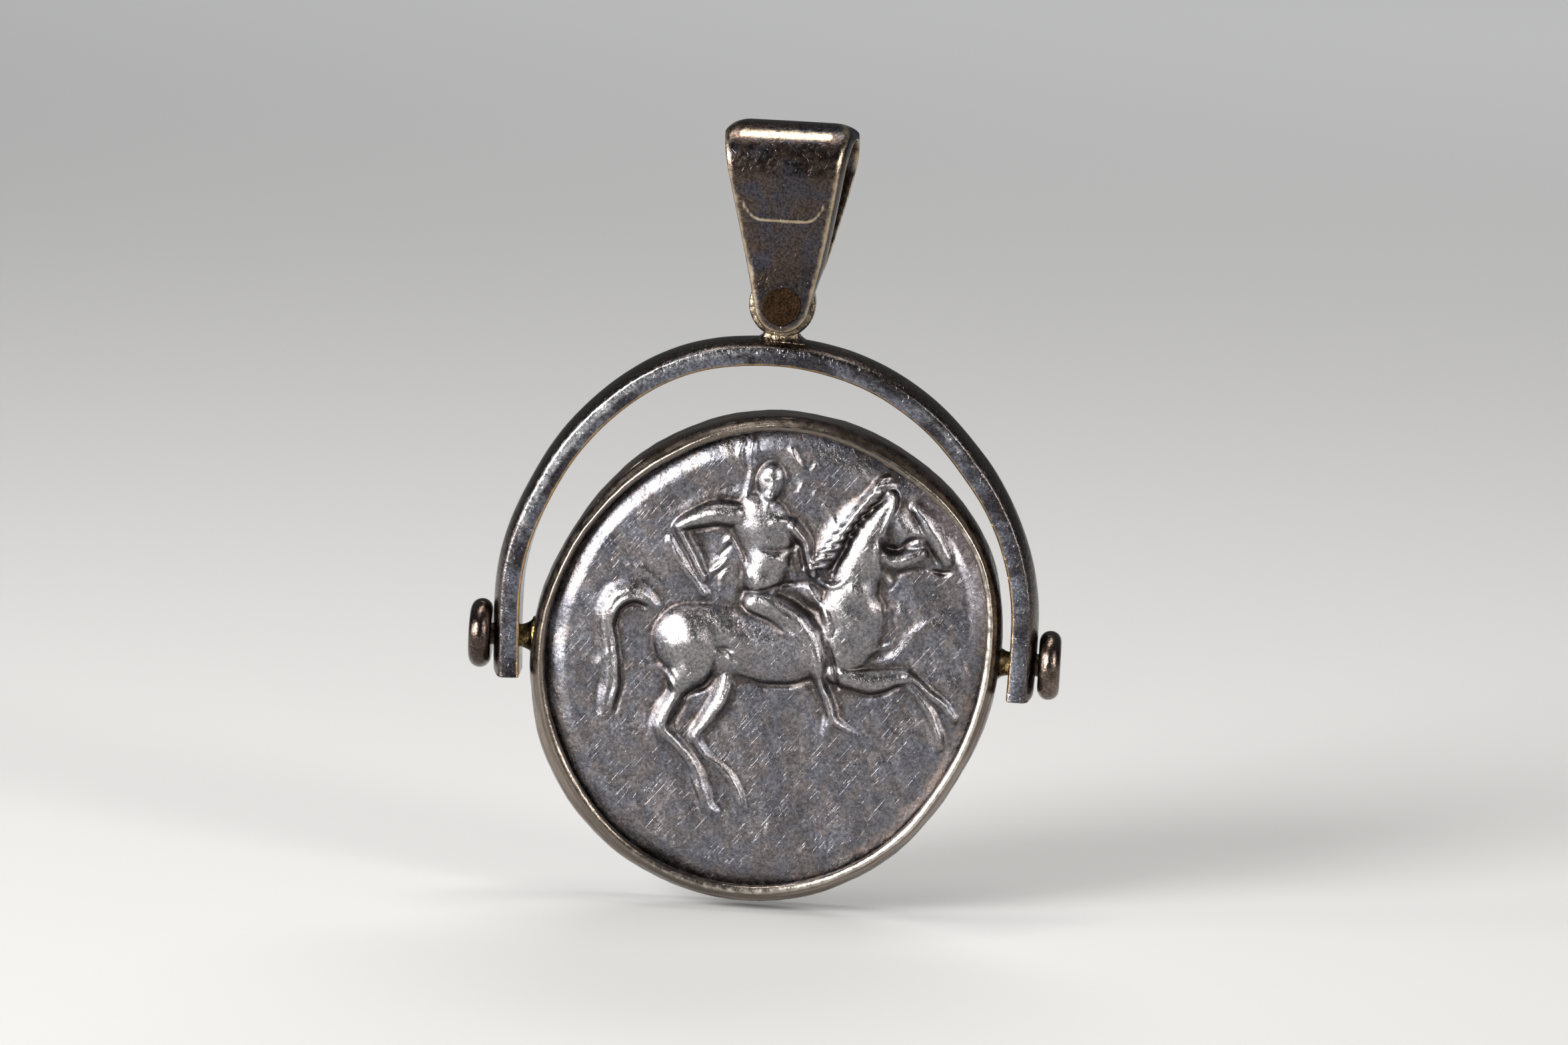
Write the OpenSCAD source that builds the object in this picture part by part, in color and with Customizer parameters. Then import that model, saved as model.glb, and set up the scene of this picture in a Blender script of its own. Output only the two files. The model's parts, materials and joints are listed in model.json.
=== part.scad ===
// Swivel coin pendant. The origin is the chain seat inside the top of the bail.
// X runs to the right seen from the front, Y to the back, Z up. All sizes are in millimetres.

/* [Bail] */
// Width of the bail near its top, seen from the front
bail_top_w = 6.1; // [5.4:0.1:6.6]
// Radius of the round lower end of both legs
bail_end_r = 1.3; // [1.2:0.05:1.4]
// Radius of the long curve of each side edge
bail_side_r = 70; // [50:5:100]
// Thickness of the folded strip
bail_wall = 0.75; // [0.65:0.05:0.85]
// Depth of the loop at its top, front to back
bail_top_depth = 4.6; // [4.2:0.1:5.2]
// Inside width between the two legs at the lug
leg_gap = 1.7; // [1.5:0.05:1.9]
// Radius of the two upper corners, seen from the front
bail_corner_r = 0.8; // [0.5:0.1:1]

/* [Rivet and lug] */
// Depth of the rivet's axis below the chain seat
rivet_drop = 7.95; // [7.5:0.05:8.5]
// Diameter of the rivet
rivet_d = 1.85; // [1.6:0.05:1.9]
// How far each end of the rivet stands proud of its leg
rivet_proud = 0.04; // [0.02:0.01:0.08]
// Diameter of the round lug
lug_d = 3.17; // [3:0.01:3.3]
// Clearance of the lug to each leg
lug_play = 0.05; // [0.03:0.01:0.1]
// Clearance in radius between the rivet and the lug's bore
rivet_play = 0.04; // [0.02:0.01:0.08]
// Half width of the solder foot at its waist
foot_waist = 0.85; // [0.75:0.05:1]
// Radius of the two hollow flanks of the solder foot
foot_r = 0.5; // [0.4:0.05:0.6]

/* [Stirrup] */
// Outer radius of the round part
arch_r = 12.95; // [12.9:0.05:13.1]
// Thickness of the strip in the middle of its domed outer face, measured along the radius
strip_t = 1.15; // [1.05:0.05:1.2]
// Height of that dome
strip_dome = 0.42; // [0.3:0.02:0.5]
// Depth of the strip, front to back
strip_d = 3.0; // [2.6:0.1:3.4]
// Radius of the strip's two inner edges
strip_edge_r = 0.12; // [0.06:0.02:0.2]
// Height of the round part's centre above the pin axis
arch_rise = 2.1; // [2:0.05:2.2]
// Inward lean of each arm in degrees
arm_lean = 1.0; // [0.5:0.25:1.5]
// How far each arm reaches below the pin axis
arm_tail = 1.8; // [1.6:0.05:2]
// Chamfer on the outer corner of each arm's end
arm_chamfer = 0.3; // [0.1:0.05:0.4]

/* [Pins and heads] */
// Distance from the rivet's axis down to the pin axis
rivet_to_pin = 16.7; // [16.6:0.05:17]
// Diameter of each pin
pin_d = 1.1; // [1:0.05:1.2]
// Clearance in radius between a pin and its bore in the arm
pin_play = 0.05; // [0.02:0.01:0.09]
// Radius of the solder flare where a pin meets the bezel
flare_r = 0.95; // [0.8:0.05:1]
// Diameter of each rounded head
head_d = 3.32; // [3:0.02:3.5]
// Thickness of each rounded head
head_t = 1.06; // [0.9:0.02:1.2]
// Free space between a head and its arm
head_gap = 0.2; // [0.12:0.02:0.3]
// Depth of the blind hole for the pin in each head
head_hole = 0.6; // [0.4:0.05:0.7]
// Clearance in radius between a pin and the hole in its head
head_fit = 0.01; // [0.005:0.005:0.02]

/* [Bezel] */
// Depth of the band from lip to lip
band_d = 3.5; // [3.3:0.1:3.8]
// How far the coin's and the band's centre lies below the pin axis
holder_drop = 0.38; // [0.2:0.02:0.6]
// How far it lies to the right of the middle
holder_side = 0.05; // [0:0.01:0.1]
// How far the coin reaches under the lips
coin_tuck = 0.18; // [0.1:0.02:0.22]

/* [Coin] */
// Half of the coin's thickness in its open field
field_h = 1.2; // [1.1:0.05:1.25]
// How far the coin's faces fall away at the edge
edge_fall = 0.22; // [0.16:0.02:0.4]
// Width of that fall, as a share of the radius
edge_share = 0.12; // [0.08:0.01:0.2]
// Height of the relief, as a share of the heights in the tables
relief_scale = 1.0; // [0.6:0.05:1.2]
// How far the horseman was struck to the left of the middle
relief_left = 0.2; // [0:0.05:0.3]
// Cells of the relief grid along each side
grid_n = 64; // [40:2:66]

/* [Hidden] */
curve_fn = 96;
small_fn = 48;
slack = 0.01;
cut = 20;
knee_rise = 2.2;
fold_steps = 44;
root_x = 10.9;
flare_x = 11.1;
flare_len = 0.6;
rivet_z = -rivet_drop;
pin_z = rivet_z - rivet_to_pin;
arch_z = pin_z + arch_rise;
arch_mid_r = arch_r - strip_t / 2;
arm_outer_x = arch_r * cos(arm_lean) - arch_rise * sin(arm_lean);
head_x = arm_outer_x + head_gap;
holder_c = [holder_side, pin_z - holder_drop];
leg_y = leg_gap / 2 + bail_wall;

// Round of the holder, counter-clockwise from the right seen from the front:
// [angle in degrees, radius of the coin's visible edge, radius of the band at its middle]
ROUND = [
    [  0, 10.38, 11.25], [ 30, 11.19, 12.00], [ 60, 11.07, 12.03], [ 90, 11.08, 11.92],
    [120, 10.60, 11.55], [150, 10.44, 11.12], [180, 10.48, 11.30], [210, 10.58, 11.70],
    [240, 10.92, 11.90], [270, 10.86, 11.88], [300, 10.57, 11.49], [330, 10.16, 11.00]];
EDGE = 1;
BAND = 2;

// Section of the band: [share of the wall from the coin's edge out, share of the half depth]
SECTION = [
    [1.00, 0.00], [0.97, 0.30], [0.88, 0.58], [0.72, 0.79], [0.55, 0.91], [0.43, 0.975],
    [0.32, 1.00], [0.22, 0.985], [0.11, 0.90], [0.05, 0.79], [0.05, 0.64], [0.30, 0.58],
    [0.36, 0.30]];

// Relief of the horseman. Each limb is a chain of joints, measured in mm from the pin axis:
// [to the right, up, half width, height above the field]. Domes have a round back and steep feet.
DOMES = [
    [[-3.45, 0.45, 1.7, 0.74], [-2.5, 0.45, 1.75, 0.62], [-0.8, 0.35, 1.75, 0.52],
     [0.6, 0.25, 1.8, 0.52], [2.2, 0.45, 1.7, 0.52]],
    [[-3.35, 0.35, 1.6, 0.84], [-3.25, -0.5, 1.25, 0.8], [-3.5, -1.2, 0.85, 0.66],
     [-3.8, -1.9, 0.5, 0.48]],
    [[3.9, 0.3, 1.2, 0.56], [4.3, 1.2, 1.5, 0.6], [4.6, 2.2, 1.3, 0.56]],
    [[-0.3, 2.5, 0.6, 0.78], [0.6, 2.25, 0.66, 0.84], [1.5, 1.75, 0.66, 0.86],
     [2.25, 1, 0.58, 0.86], [2.7, 0.1, 0.46, 0.8], [2.85, -0.8, 0.4, 0.68]],
    [[3.6, -0.7, 0.55, 0.5], [4.6, -1.05, 0.55, 0.52], [5.6, -1.1, 0.6, 0.54],
     [6.4, -0.9, 0.42, 0.44], [7.1, -0.85, 0.3, 0.36]],
    [[-0.05, 3.5, 0.95, 0.62], [0.15, 4.3, 1.05, 0.62], [0.1, 5.2, 1.2, 0.58],
     [-0.1, 6, 1.4, 0.58], [-0.4, 6.4, 1.3, 0.54]],
    [[-1.5, 6.6, 0.62, 0.58], [-2.6, 6.55, 0.58, 0.56], [-3.5, 6.2, 0.46, 0.46],
     [-4.1, 5.85, 0.34, 0.34]],
    [[7.15, 7.35, 0.34, 0.4], [7.65, 6.7, 0.5, 0.5], [8.1, 6, 0.5, 0.5], [8.6, 5.3, 0.44, 0.46],
     [8.75, 4.9, 0.34, 0.4]],
    [[6.3, 6.7, 0.75, 0.46], [6.6, 6.3, 0.85, 0.48], [7.2, 6, 0.6, 0.44]]];
// Roofs have a worn back and soft feet
ROOFS = [
    [[3.9, 1, 1.2, 0.62], [4.15, 2.2, 1.5, 0.7], [4.3, 3.6, 1.3, 0.72], [4.65, 5, 1.05, 0.74],
     [5.15, 6.3, 0.85, 0.66], [5.95, 7.85, 0.36, 0.4]],
    [[2.4, 4.2, 0.5, 0.12], [3, 5.1, 0.85, 0.18], [3.6, 6.1, 0.9, 0.22], [4.3, 7.05, 0.75, 0.22],
     [5.15, 7.9, 0.55, 0.2], [5.8, 8.45, 0.34, 0.14]],
    [[5.7, 5, 0.6, 0.4], [6.2, 4.75, 0.65, 0.46], [6.9, 4.95, 0.62, 0.46], [7.45, 5.2, 0.5, 0.4]],
    [[-3.85, -2.1, 0.5, 0.44], [-4.3, -2.95, 0.62, 0.42], [-4.6, -3.8, 0.58, 0.4],
     [-4.2, -4.3, 0.5, 0.34], [-3.5, -4.9, 0.46, 0.3], [-2.9, -5.6, 0.48, 0.28],
     [-2.45, -6.6, 0.5, 0.27], [-2.15, -7.5, 0.46, 0.22], [-1.8, -7.8, 0.4, 0.14]],
    [[-4.05, -2.5, 0.3, 0.46], [-4.25, -3.2, 0.32, 0.46], [-4.4, -3.9, 0.32, 0.38],
     [-3.85, -4.45, 0.28, 0.26], [-3.2, -5.1, 0.26, 0.22]],
    [[-1.55, -1.2, 0.5, 0.34], [-1.75, -2.2, 0.58, 0.4], [-2.25, -3.2, 0.55, 0.38],
     [-2.85, -4.2, 0.42, 0.3], [-2.5, -4.9, 0.36, 0.2], [-1.8, -5.5, 0.36, 0.18],
     [-1.05, -6.2, 0.44, 0.2], [-0.7, -7.1, 0.44, 0.2], [-0.5, -7.7, 0.36, 0.12]],
    [[-1.35, -1.6, 0.28, 0.38], [-1.6, -2.4, 0.32, 0.46], [-2.05, -3.1, 0.3, 0.42],
     [-2.6, -3.9, 0.26, 0.28]],
    [[7, -0.75, 0.36, 0.34], [7.6, -1, 0.4, 0.32], [8.3, -1.65, 0.42, 0.28], [9, -2.2, 0.36, 0.22],
     [9.4, -2.7, 0.36, 0.16]],
    [[7.2, -1.2, 0.3, 0.18], [7.9, -1.95, 0.38, 0.26], [8.45, -2.8, 0.4, 0.28],
     [8.75, -3.6, 0.4, 0.26], [8.85, -4.1, 0.32, 0.16]],
    [[-5.1, 2, 0.35, 0.16], [-5.7, 2.5, 0.55, 0.28], [-6.4, 2.6, 0.75, 0.38],
     [-7.05, 2.1, 0.8, 0.4], [-7.35, 1.3, 0.62, 0.36], [-7.35, 0.4, 0.5, 0.3],
     [-7.2, -0.5, 0.55, 0.3], [-7.1, -1.4, 0.5, 0.3], [-7.2, -2.4, 0.45, 0.26],
     [-7.3, -3.4, 0.35, 0.14]],
    [[-5.4, 2.1, 0.25, 0.18], [-6, 2.35, 0.35, 0.4], [-6.6, 2.15, 0.38, 0.48],
     [-7.05, 1.6, 0.32, 0.46], [-7.12, 0.8, 0.28, 0.4], [-6.95, -0.1, 0.26, 0.36],
     [-6.8, -1, 0.28, 0.38], [-6.75, -1.7, 0.28, 0.4], [-6.9, -2.6, 0.28, 0.34],
     [-7.05, -3.3, 0.24, 0.18]],
    [[2.85, -0.8, 0.46, 0.62], [3.1, -1.6, 0.42, 0.48], [3.5, -2.5, 0.4, 0.38],
     [3.7, -3.1, 0.38, 0.3], [4.3, -3.45, 0.3, 0.18], [5, -3.8, 0.26, 0.1]],
    [[3.55, -2.8, 0.3, 0.26], [3.4, -3.4, 0.3, 0.22], [3.35, -3.95, 0.22, 0.1]],
    [[-4.05, 5.65, 0.34, 0.34], [-3.6, 4.85, 0.34, 0.34], [-3.15, 4, 0.32, 0.38],
     [-2.8, 3.4, 0.3, 0.34]],
    [[-4.55, 5.2, 0.3, 0.14], [-4, 4.3, 0.4, 0.22], [-3.4, 3.5, 0.4, 0.26], [-2.8, 2.7, 0.36, 0.26]],
    [[1.3, 6.1, 0.55, 0.5], [1.9, 5.5, 0.45, 0.46], [2.1, 4.7, 0.4, 0.44], [2.4, 3.95, 0.32, 0.46]],
    [[0, 6.8, 0.55, 0.42], [0.1, 7.5, 0.42, 0.36]]];
// Soft swells and troughs that are added to them
SWELLS = [
    [[2.2, 3.25, 0.14, 0.1], [2.7, 2.7, 0.2, 0.2], [3.1, 2, 0.2, 0.22], [3.3, 1.2, 0.12, 0.14]],
    [[0.35, 6.3, 0.15, 0.06], [0.75, 6.45, 0.18, 0.12], [1.3, 6.3, 0.2, 0.14],
     [1.9, 5.75, 0.18, 0.12]],
    [[5.35, 5.5, 0.13, 0.16], [5.45, 4.7, 0.18, 0.2], [5.7, 4.15, 0.2, 0.18],
     [5.95, 3.75, 0.18, 0.14]],
    [[4.9, -0.35, 0.2, 0.06], [6, -0.1, 0.25, 0.1], [6.9, 0.5, 0.28, 0.08], [7.3, 1.3, 0.3, 0.08],
     [7.9, 1.75, 0.3, 0.08], [8.7, 1.55, 0.25, 0.06], [9.4, 0.7, 0.2, 0.06],
     [9.8, -0.3, 0.15, 0.08], [9.85, -0.8, 0.1, 0.04]],
    [[-7.7, -1, 0.2, 0.04], [-7.15, -0.35, 0.16, 0.07]],
    [[-6.4, 3.9, 0.15, 0.05], [-5.6, 3.6, 0.2, 0.06], [-4.8, 3, 0.2, 0.05]],
    [[1.6, 2.75, 0.35, -0.14], [2.2, 2.2, 0.35, -0.18], [2.75, 1.6, 0.22, -0.14]],
    [[-4.6, 6.9, 0.5, -0.05], [-3.4, 7.6, 0.5, -0.09], [-2.2, 7.95, 0.45, -0.09],
     [-1.2, 8.1, 0.35, -0.05]],
    [[-3, 5.3, 0.6, -0.1], [-2.6, 4.6, 0.5, -0.1]],
    [[-0.6, 8.6, 0.3, -0.06], [0.4, 9.3, 0.5, -0.08], [1.3, 8.5, 0.3, -0.06]]];
// Head of the rider, a worn oval dome: [to the right, up, half width, half height, height]
HEAD = [0.12, 8.3, 0.66, 0.95, 0.40];
// Height above which the relief is worn away
worn_h = 1.2;

// Round of the holder, worked out as a smooth closed curve through the rows of ROUND
function wrap(i) = (i % len(ROUND) + len(ROUND)) % len(ROUND);
function row(i, col) = ROUND[wrap(i)][col];
function blend4(a, b, c, d, t) =
    b + t * ((c - a) / 2 + t * (a - 2.5 * b + 2 * c - d / 2 + t * (1.5 * (b - c) + (d - a) / 2)));
function round_r(angle, col) =
    let (s = (angle % 360 + 360) % 360 / (360 / len(ROUND)), i = floor(s))
    blend4(row(i - 1, col), row(i, col), row(i + 1, col), row(i + 2, col), s - i);

// Height of one tapered limb between two joints, a straight line along and a profile across.
// The profile takes the distance from the middle as a share of the half width.
DOME = 0;
ROOF = 1;
SWELL = 2;
function profile(s, kind) =
    kind == SWELL ? exp(-1.4 * s * s) :
    s >= 1 ? 0 :
    kind == DOME ? pow(1 - s * s, 0.75) : pow(cos(90 * s), 2);
function limb(p, a, b, kind) =
    let (d = [b[0] - a[0], b[1] - a[1]],
         t = max(0, min(1, ((p[0] - a[0]) * d[0] + (p[1] - a[1]) * d[1]) / (d * d))),
         q = [p[0] - a[0] - t * d[0], p[1] - a[1] - t * d[1]],
         w = a[2] + t * (b[2] - a[2]))
    (a[3] + t * (b[3] - a[3])) * profile(norm(q) / w, kind);
// Along one chain the highest limb counts, or the deepest of a trough
function chain_height(p, chain, kind) =
    let (h = [for (i = [0:len(chain) - 2]) limb(p, chain[i], chain[i + 1], kind)])
    chain[0][3] < 0 ? min(h) : max(h);
function total(v, i = 0) = i >= len(v) ? 0 : v[i] + total(v, i + 1);
function worn(h) = worn_h * (1 - 2 / (exp(2 * h / worn_h) + 1));
function head_height(p) =
    let (u = (p[0] - HEAD[0]) / HEAD[2], v = (p[1] - HEAD[1]) / HEAD[3])
    HEAD[4] * pow(max(0, 1 - u * u - v * v), 0.6);
// Limbs that meet melt into each other: the sixth root of the sum of sixth powers
function figure_height(p) =
    let (domes = total([for (chain = DOMES) pow(chain_height(p, chain, DOME), 6)]),
         roofs = total([for (chain = ROOFS) pow(chain_height(p, chain, ROOF), 6)]),
         swells = total([for (chain = SWELLS) chain_height(p, chain, SWELL)]))
    worn(pow(domes + roofs, 1 / 6)) + swells + head_height(p);

// A square grid is laid over the coin: a place in the square, from -1 to 1, becomes a place in a disc
function disc(u, v) = [u * sqrt(1 - v * v / 2), v * sqrt(1 - u * u / 2)];
function fall(share) =
    let (t = max(0, (share - 1 + edge_share) / edge_share)) edge_fall * t * t;
function coin_r(angle) = round_r(angle, EDGE) + coin_tuck;
function face_point(u, v) =
    let (q = disc(u, v),
         share = min(1, norm(q)),
         angle = atan2(q[1], q[0]),
         p = q * coin_r(angle) + holder_c,
         fade = max(0, min(1, (0.985 - share) / 0.04)),
         relief = relief_scale * fade * figure_height([p[0] + relief_left, p[1] - pin_z]))
    [p[0], -(field_h - fall(share) + relief), p[1]];

// Steps round the rim of the square, counter-clockwise from its lower left corner
function rim_step(k) =
    let (n = grid_n, side = floor(k / n), s = k % n)
    side == 0 ? [s, 0] : side == 1 ? [n, s] : side == 2 ? [n - s, n] : [0, n - s];
function rim_angle(k) =
    let (g = rim_step(k), q = disc(2 * g[0] / grid_n - 1, 2 * g[1] / grid_n - 1)) atan2(q[1], q[0]);
function rim_point(k, y, inset) =
    let (a = rim_angle(k), r = coin_r(a) - inset)
    [holder_c[0] + r * cos(a), y, holder_c[1] + r * sin(a)];

module coin() {
    n = grid_n;
    rim = 4 * n;
    front = [for (j = [0:n]) for (i = [0:n]) face_point(2 * i / n - 1, 2 * j / n - 1)];
    edge_h = field_h - edge_fall;
    back_1 = [for (k = [0:rim - 1]) rim_point(k, edge_h, 0)];
    back_2 = [for (k = [0:rim - 1]) rim_point(k, field_h - edge_fall / 4, 0.6)];
    back_3 = [for (k = [0:rim - 1]) rim_point(k, field_h, 1.3)];
    centre = [[holder_c[0], field_h, holder_c[1]]];
    base = len(front);
    tip = base + 3 * rim;
    function g(i, j) = j * (n + 1) + i;
    function front_rim(k) = let (s = rim_step(k % rim)) g(s[0], s[1]);
    function ring(b, k) = base + b * rim + k % rim;
    faces = concat(
        [for (j = [0:n - 1]) for (i = [0:n - 1]) [g(i, j), g(i + 1, j + 1), g(i + 1, j)]],
        [for (j = [0:n - 1]) for (i = [0:n - 1]) [g(i, j), g(i, j + 1), g(i + 1, j + 1)]],
        [for (k = [0:rim - 1]) [front_rim(k), front_rim(k + 1), ring(0, k + 1)]],
        [for (k = [0:rim - 1]) [front_rim(k), ring(0, k + 1), ring(0, k)]],
        [for (b = [0:1]) for (k = [0:rim - 1]) [ring(b, k), ring(b, k + 1), ring(b + 1, k + 1)]],
        [for (b = [0:1]) for (k = [0:rim - 1]) [ring(b, k), ring(b + 1, k + 1), ring(b + 1, k)]],
        [for (k = [0:rim - 1]) [ring(2, k), ring(2, k + 1), tip]]);
    color([0.66, 0.65, 0.68])
        polyhedron(concat(front, back_1, back_2, back_3, centre), faces);
}

// The band: its section follows the coin's edge inside and the band's own round outside
module band() {
    steps = 96;
    back = [for (i = [len(SECTION) - 1:-1:1]) [SECTION[i][0], -SECTION[i][1]]];
    section = concat(SECTION, back);
    m = len(section);
    function place(a, s) =
        let (r = round_r(a, EDGE) + s[0] * (round_r(a, BAND) - round_r(a, EDGE)))
        [holder_c[0] + r * cos(a), -s[1] * band_d / 2, holder_c[1] + r * sin(a)];
    points = [for (k = [0:steps - 1]) for (s = section) place(k * 360 / steps, s)];
    function at(k, i) = (k % steps) * m + i % m;
    faces = concat(
        [for (k = [0:steps - 1]) for (i = [0:m - 1]) [at(k, i), at(k, i + 1), at(k + 1, i + 1)]],
        [for (k = [0:steps - 1]) for (i = [0:m - 1]) [at(k, i), at(k + 1, i + 1), at(k + 1, i)]]);
    polyhedron(points, faces);
}

// Everything that is round about the pin axis is turned along the X axis
module on_pin_axis(side) {
    translate([0, 0, pin_z])
        rotate([0, side * 90, 0])
            children();
}

// One pin with its solder flare, both buried a little in the band
module pin(side) {
    hollow_r = flare_r - pin_d / 2;
    on_pin_axis(side) {
        translate([0, 0, root_x])
            cylinder(h = head_x + head_hole - slack - root_x, d = pin_d, $fn = small_fn);
        translate([0, 0, flare_x])
            rotate_extrude($fn = small_fn)
                difference() {
                    square([flare_r, flare_len]);
                    translate([flare_r, flare_len])
                        scale(hollow_r)
                            circle(r = 1, $fn = small_fn);
                }
    }
}

module bezel() {
    color([0.72, 0.7, 0.66])
        union() {
            band();
            pin(-1);
            pin(1);
        }
}

// A flat disc with a fully rounded edge and a blind hole for the pin
module rivet_head(side) {
    rim_r = head_t / 2;
    color([0.7, 0.67, 0.62])
        on_pin_axis(side)
            translate([0, 0, head_x])
                difference() {
                    rotate_extrude($fn = curve_fn)
                        union() {
                            square([head_d / 2 - rim_r, head_t]);
                            translate([head_d / 2 - rim_r, rim_r])
                                intersection() {
                                    circle(r = rim_r, $fn = small_fn);
                                    translate([-rim_r / 2, -rim_r])
                                        square([2 * rim_r, 2 * rim_r]);
                                }
                        }
                    translate([0, 0, -cut])
                        cylinder(h = cut + head_hole, r = pin_d / 2 + head_fit, $fn = small_fn);
                }
}

// Section of the strip: flat inside with two rounded edges, and domed outside
module strip_section() {
    dome_r = (strip_d * strip_d / 4 + strip_dome * strip_dome) / (2 * strip_dome);
    intersection() {
        union() {
            translate([strip_edge_r - strip_t / 2, -strip_d / 2])
                square([strip_t, strip_d]);
            translate([-strip_t / 2, strip_edge_r - strip_d / 2])
                square([strip_t, strip_d - 2 * strip_edge_r]);
            for (sy = [-1, 1])
                translate([strip_edge_r - strip_t / 2, sy * (strip_d / 2 - strip_edge_r)])
                    circle(r = strip_edge_r, $fn = small_fn);
        }
        translate([strip_t / 2 - dome_r, 0])
            circle(r = dome_r, $fn = 4 * curve_fn);
    }
}

// One arm hangs down from the end of the round part and leans inward
module arm(side) {
    length = arch_rise + arm_tail - arch_mid_r * sin(arm_lean);
    mirror([side > 0 ? 0 : 1, 0, 0])
        rotate([0, 0, -arm_lean])
            difference() {
                translate([arch_mid_r, 0, 0])
                    rotate([90, 0, 0])
                        linear_extrude(length)
                            strip_section();
                translate([arch_r, -length, 0])
                    rotate([0, 0, 45])
                        cube([arm_chamfer * sqrt(2), arm_chamfer * sqrt(2), 2 * strip_d], center = true);
            }
}

// The solder foot between the lug and the strip, hollow on both flanks
module foot() {
    low = arch_z + arch_r - strip_t / 2;
    high = rivet_z - lug_d / 4;
    flank_x = foot_waist + foot_r;
    flank_z = arch_z + arch_r + 0.9 * foot_r;
    translate([0, leg_gap / 2 - lug_play, 0])
        rotate([90, 0, 0])
            linear_extrude(leg_gap - 2 * lug_play)
                difference() {
                    translate([-flank_x, low])
                        square([2 * flank_x, high - low]);
                    for (side = [-1, 1])
                        translate([side * flank_x, flank_z])
                            circle(r = foot_r, $fn = small_fn);
                    for (side = [-1, 1])
                        translate([side * flank_x, flank_z + cut / 2])
                            square([2 * foot_r, cut], center = true);
                }
}

module stirrup() {
    color([0.68, 0.68, 0.7])
        difference() {
            union() {
                translate([0, 0, arch_z])
                    rotate([90, 0, 0]) {
                        rotate([0, 0, -arm_lean])
                            rotate_extrude(angle = 180 + 2 * arm_lean, $fn = 2 * curve_fn)
                                translate([arch_mid_r, 0])
                                    strip_section();
                        arm(1);
                        arm(-1);
                    }
                foot();
                translate([0, leg_gap / 2 - lug_play, rivet_z])
                    rotate([90, 0, 0])
                        cylinder(h = leg_gap - 2 * lug_play, d = lug_d, $fn = curve_fn);
            }
            translate([0, cut / 2, rivet_z])
                rotate([90, 0, 0])
                    cylinder(h = cut, r = rivet_d / 2 + rivet_play, $fn = small_fn);
            translate([-cut, 0, pin_z])
                rotate([0, 90, 0])
                    cylinder(h = 2 * cut, r = pin_d / 2 + pin_play, $fn = small_fn);
        }
}

// Centre of the circle of radius r through a and b, on the left of the way from a to b
function arc_centre(a, b, r) =
    let (m = (a + b) / 2, d = b - a, n = [-d[1], d[0]] / norm(d)) m + n * sqrt(r * r - d * d / 4);
// Angle at which the straight line from point p touches the right side of a circle round c
function touch_angle(p, c, r) = let (d = p - c) atan2(d[1], d[0]) + acos(r / norm(d));

// One side of the folded strip seen from the side, from the right leg's end over the top to the left
// leg's end: straight legs, a knee, and a round top whose arc starts where the legs touch it
function fold_line(inset) =
    let (r = bail_top_depth / 2 - inset,
         c = [0, bail_wall - bail_top_depth / 2],
         knee = [leg_y - inset, rivet_z + knee_rise],
         low = rivet_z - 2 * bail_end_r,
         a = touch_angle(knee, c, r),
         arc = [for (i = [0:fold_steps]) a + i * (180 - 2 * a) / fold_steps])
    concat([[knee[0], low], knee], [for (t = arc) c + r * [cos(t), sin(t)]],
           [[-knee[0], knee[1]], [-knee[0], low]]);
function reversed(v) = [for (i = [len(v) - 1:-1:0]) v[i]];

// Outline of the bail seen from the front
module bail_front() {
    top_z = bail_wall;
    tangent = 17;
    low = [bail_end_r * cos(tangent), rivet_z - bail_end_r * sin(tangent)];
    high = [bail_top_w / 2, top_z - 0.2];
    c = arc_centre(low, high, bail_side_r);
    mid_w = bail_top_w / 2 - bail_corner_r;
    translate([0, rivet_z])
        circle(r = bail_end_r, $fn = curve_fn);
    intersection() {
        translate(c)
            circle(r = bail_side_r, $fn = 4 * curve_fn);
        translate([-c[0], c[1]])
            circle(r = bail_side_r, $fn = 4 * curve_fn);
        union() {
            translate([-bail_top_w, low[1]])
                square([2 * bail_top_w, top_z - bail_corner_r - low[1]]);
            translate([-mid_w, low[1]])
                square([2 * mid_w, top_z - low[1]]);
            for (side = [-1, 1])
                translate([side * mid_w, top_z - bail_corner_r])
                    circle(r = bail_corner_r, $fn = small_fn);
        }
    }
}

module bail() {
    color([0.6, 0.58, 0.57])
        difference() {
            intersection() {
                translate([-cut / 2, 0, 0])
                    rotate([90, 0, 90])
                        linear_extrude(cut)
                            polygon(concat(fold_line(0), reversed(fold_line(bail_wall))));
                translate([0, cut / 2, 0])
                    rotate([90, 0, 0])
                        linear_extrude(cut)
                            bail_front();
            }
            translate([0, cut / 2, rivet_z])
                rotate([90, 0, 0])
                    cylinder(h = cut, r = rivet_d / 2 + slack, $fn = small_fn);
        }
}

module bail_rivet() {
    length = 2 * (leg_y + rivet_proud);
    color([0.36, 0.24, 0.16])
        translate([0, length / 2, rivet_z])
            rotate([90, 0, 0])
                cylinder(h = length, d = rivet_d, $fn = small_fn);
}

coin();
bezel();
rivet_head(-1);  // rivet_head_left
rivet_head(1);  // rivet_head_right
stirrup();
bail();
bail_rivet();
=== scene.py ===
"""Coin pendant: a worn silver coin in a hand-made swivel bezel, dressed round the packed frame.

Every piece is a surface worked out with numpy in millimetres and put into its mesh in metres.
X runs to the right seen from the front, Y to the back and Z up, with the chain seat at the origin.
"""
import json
import math
from types import SimpleNamespace
import bpy
import numpy as np
from bpy.props import FloatProperty, FloatVectorProperty, PointerProperty
from mathutils import Matrix, Vector


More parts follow.
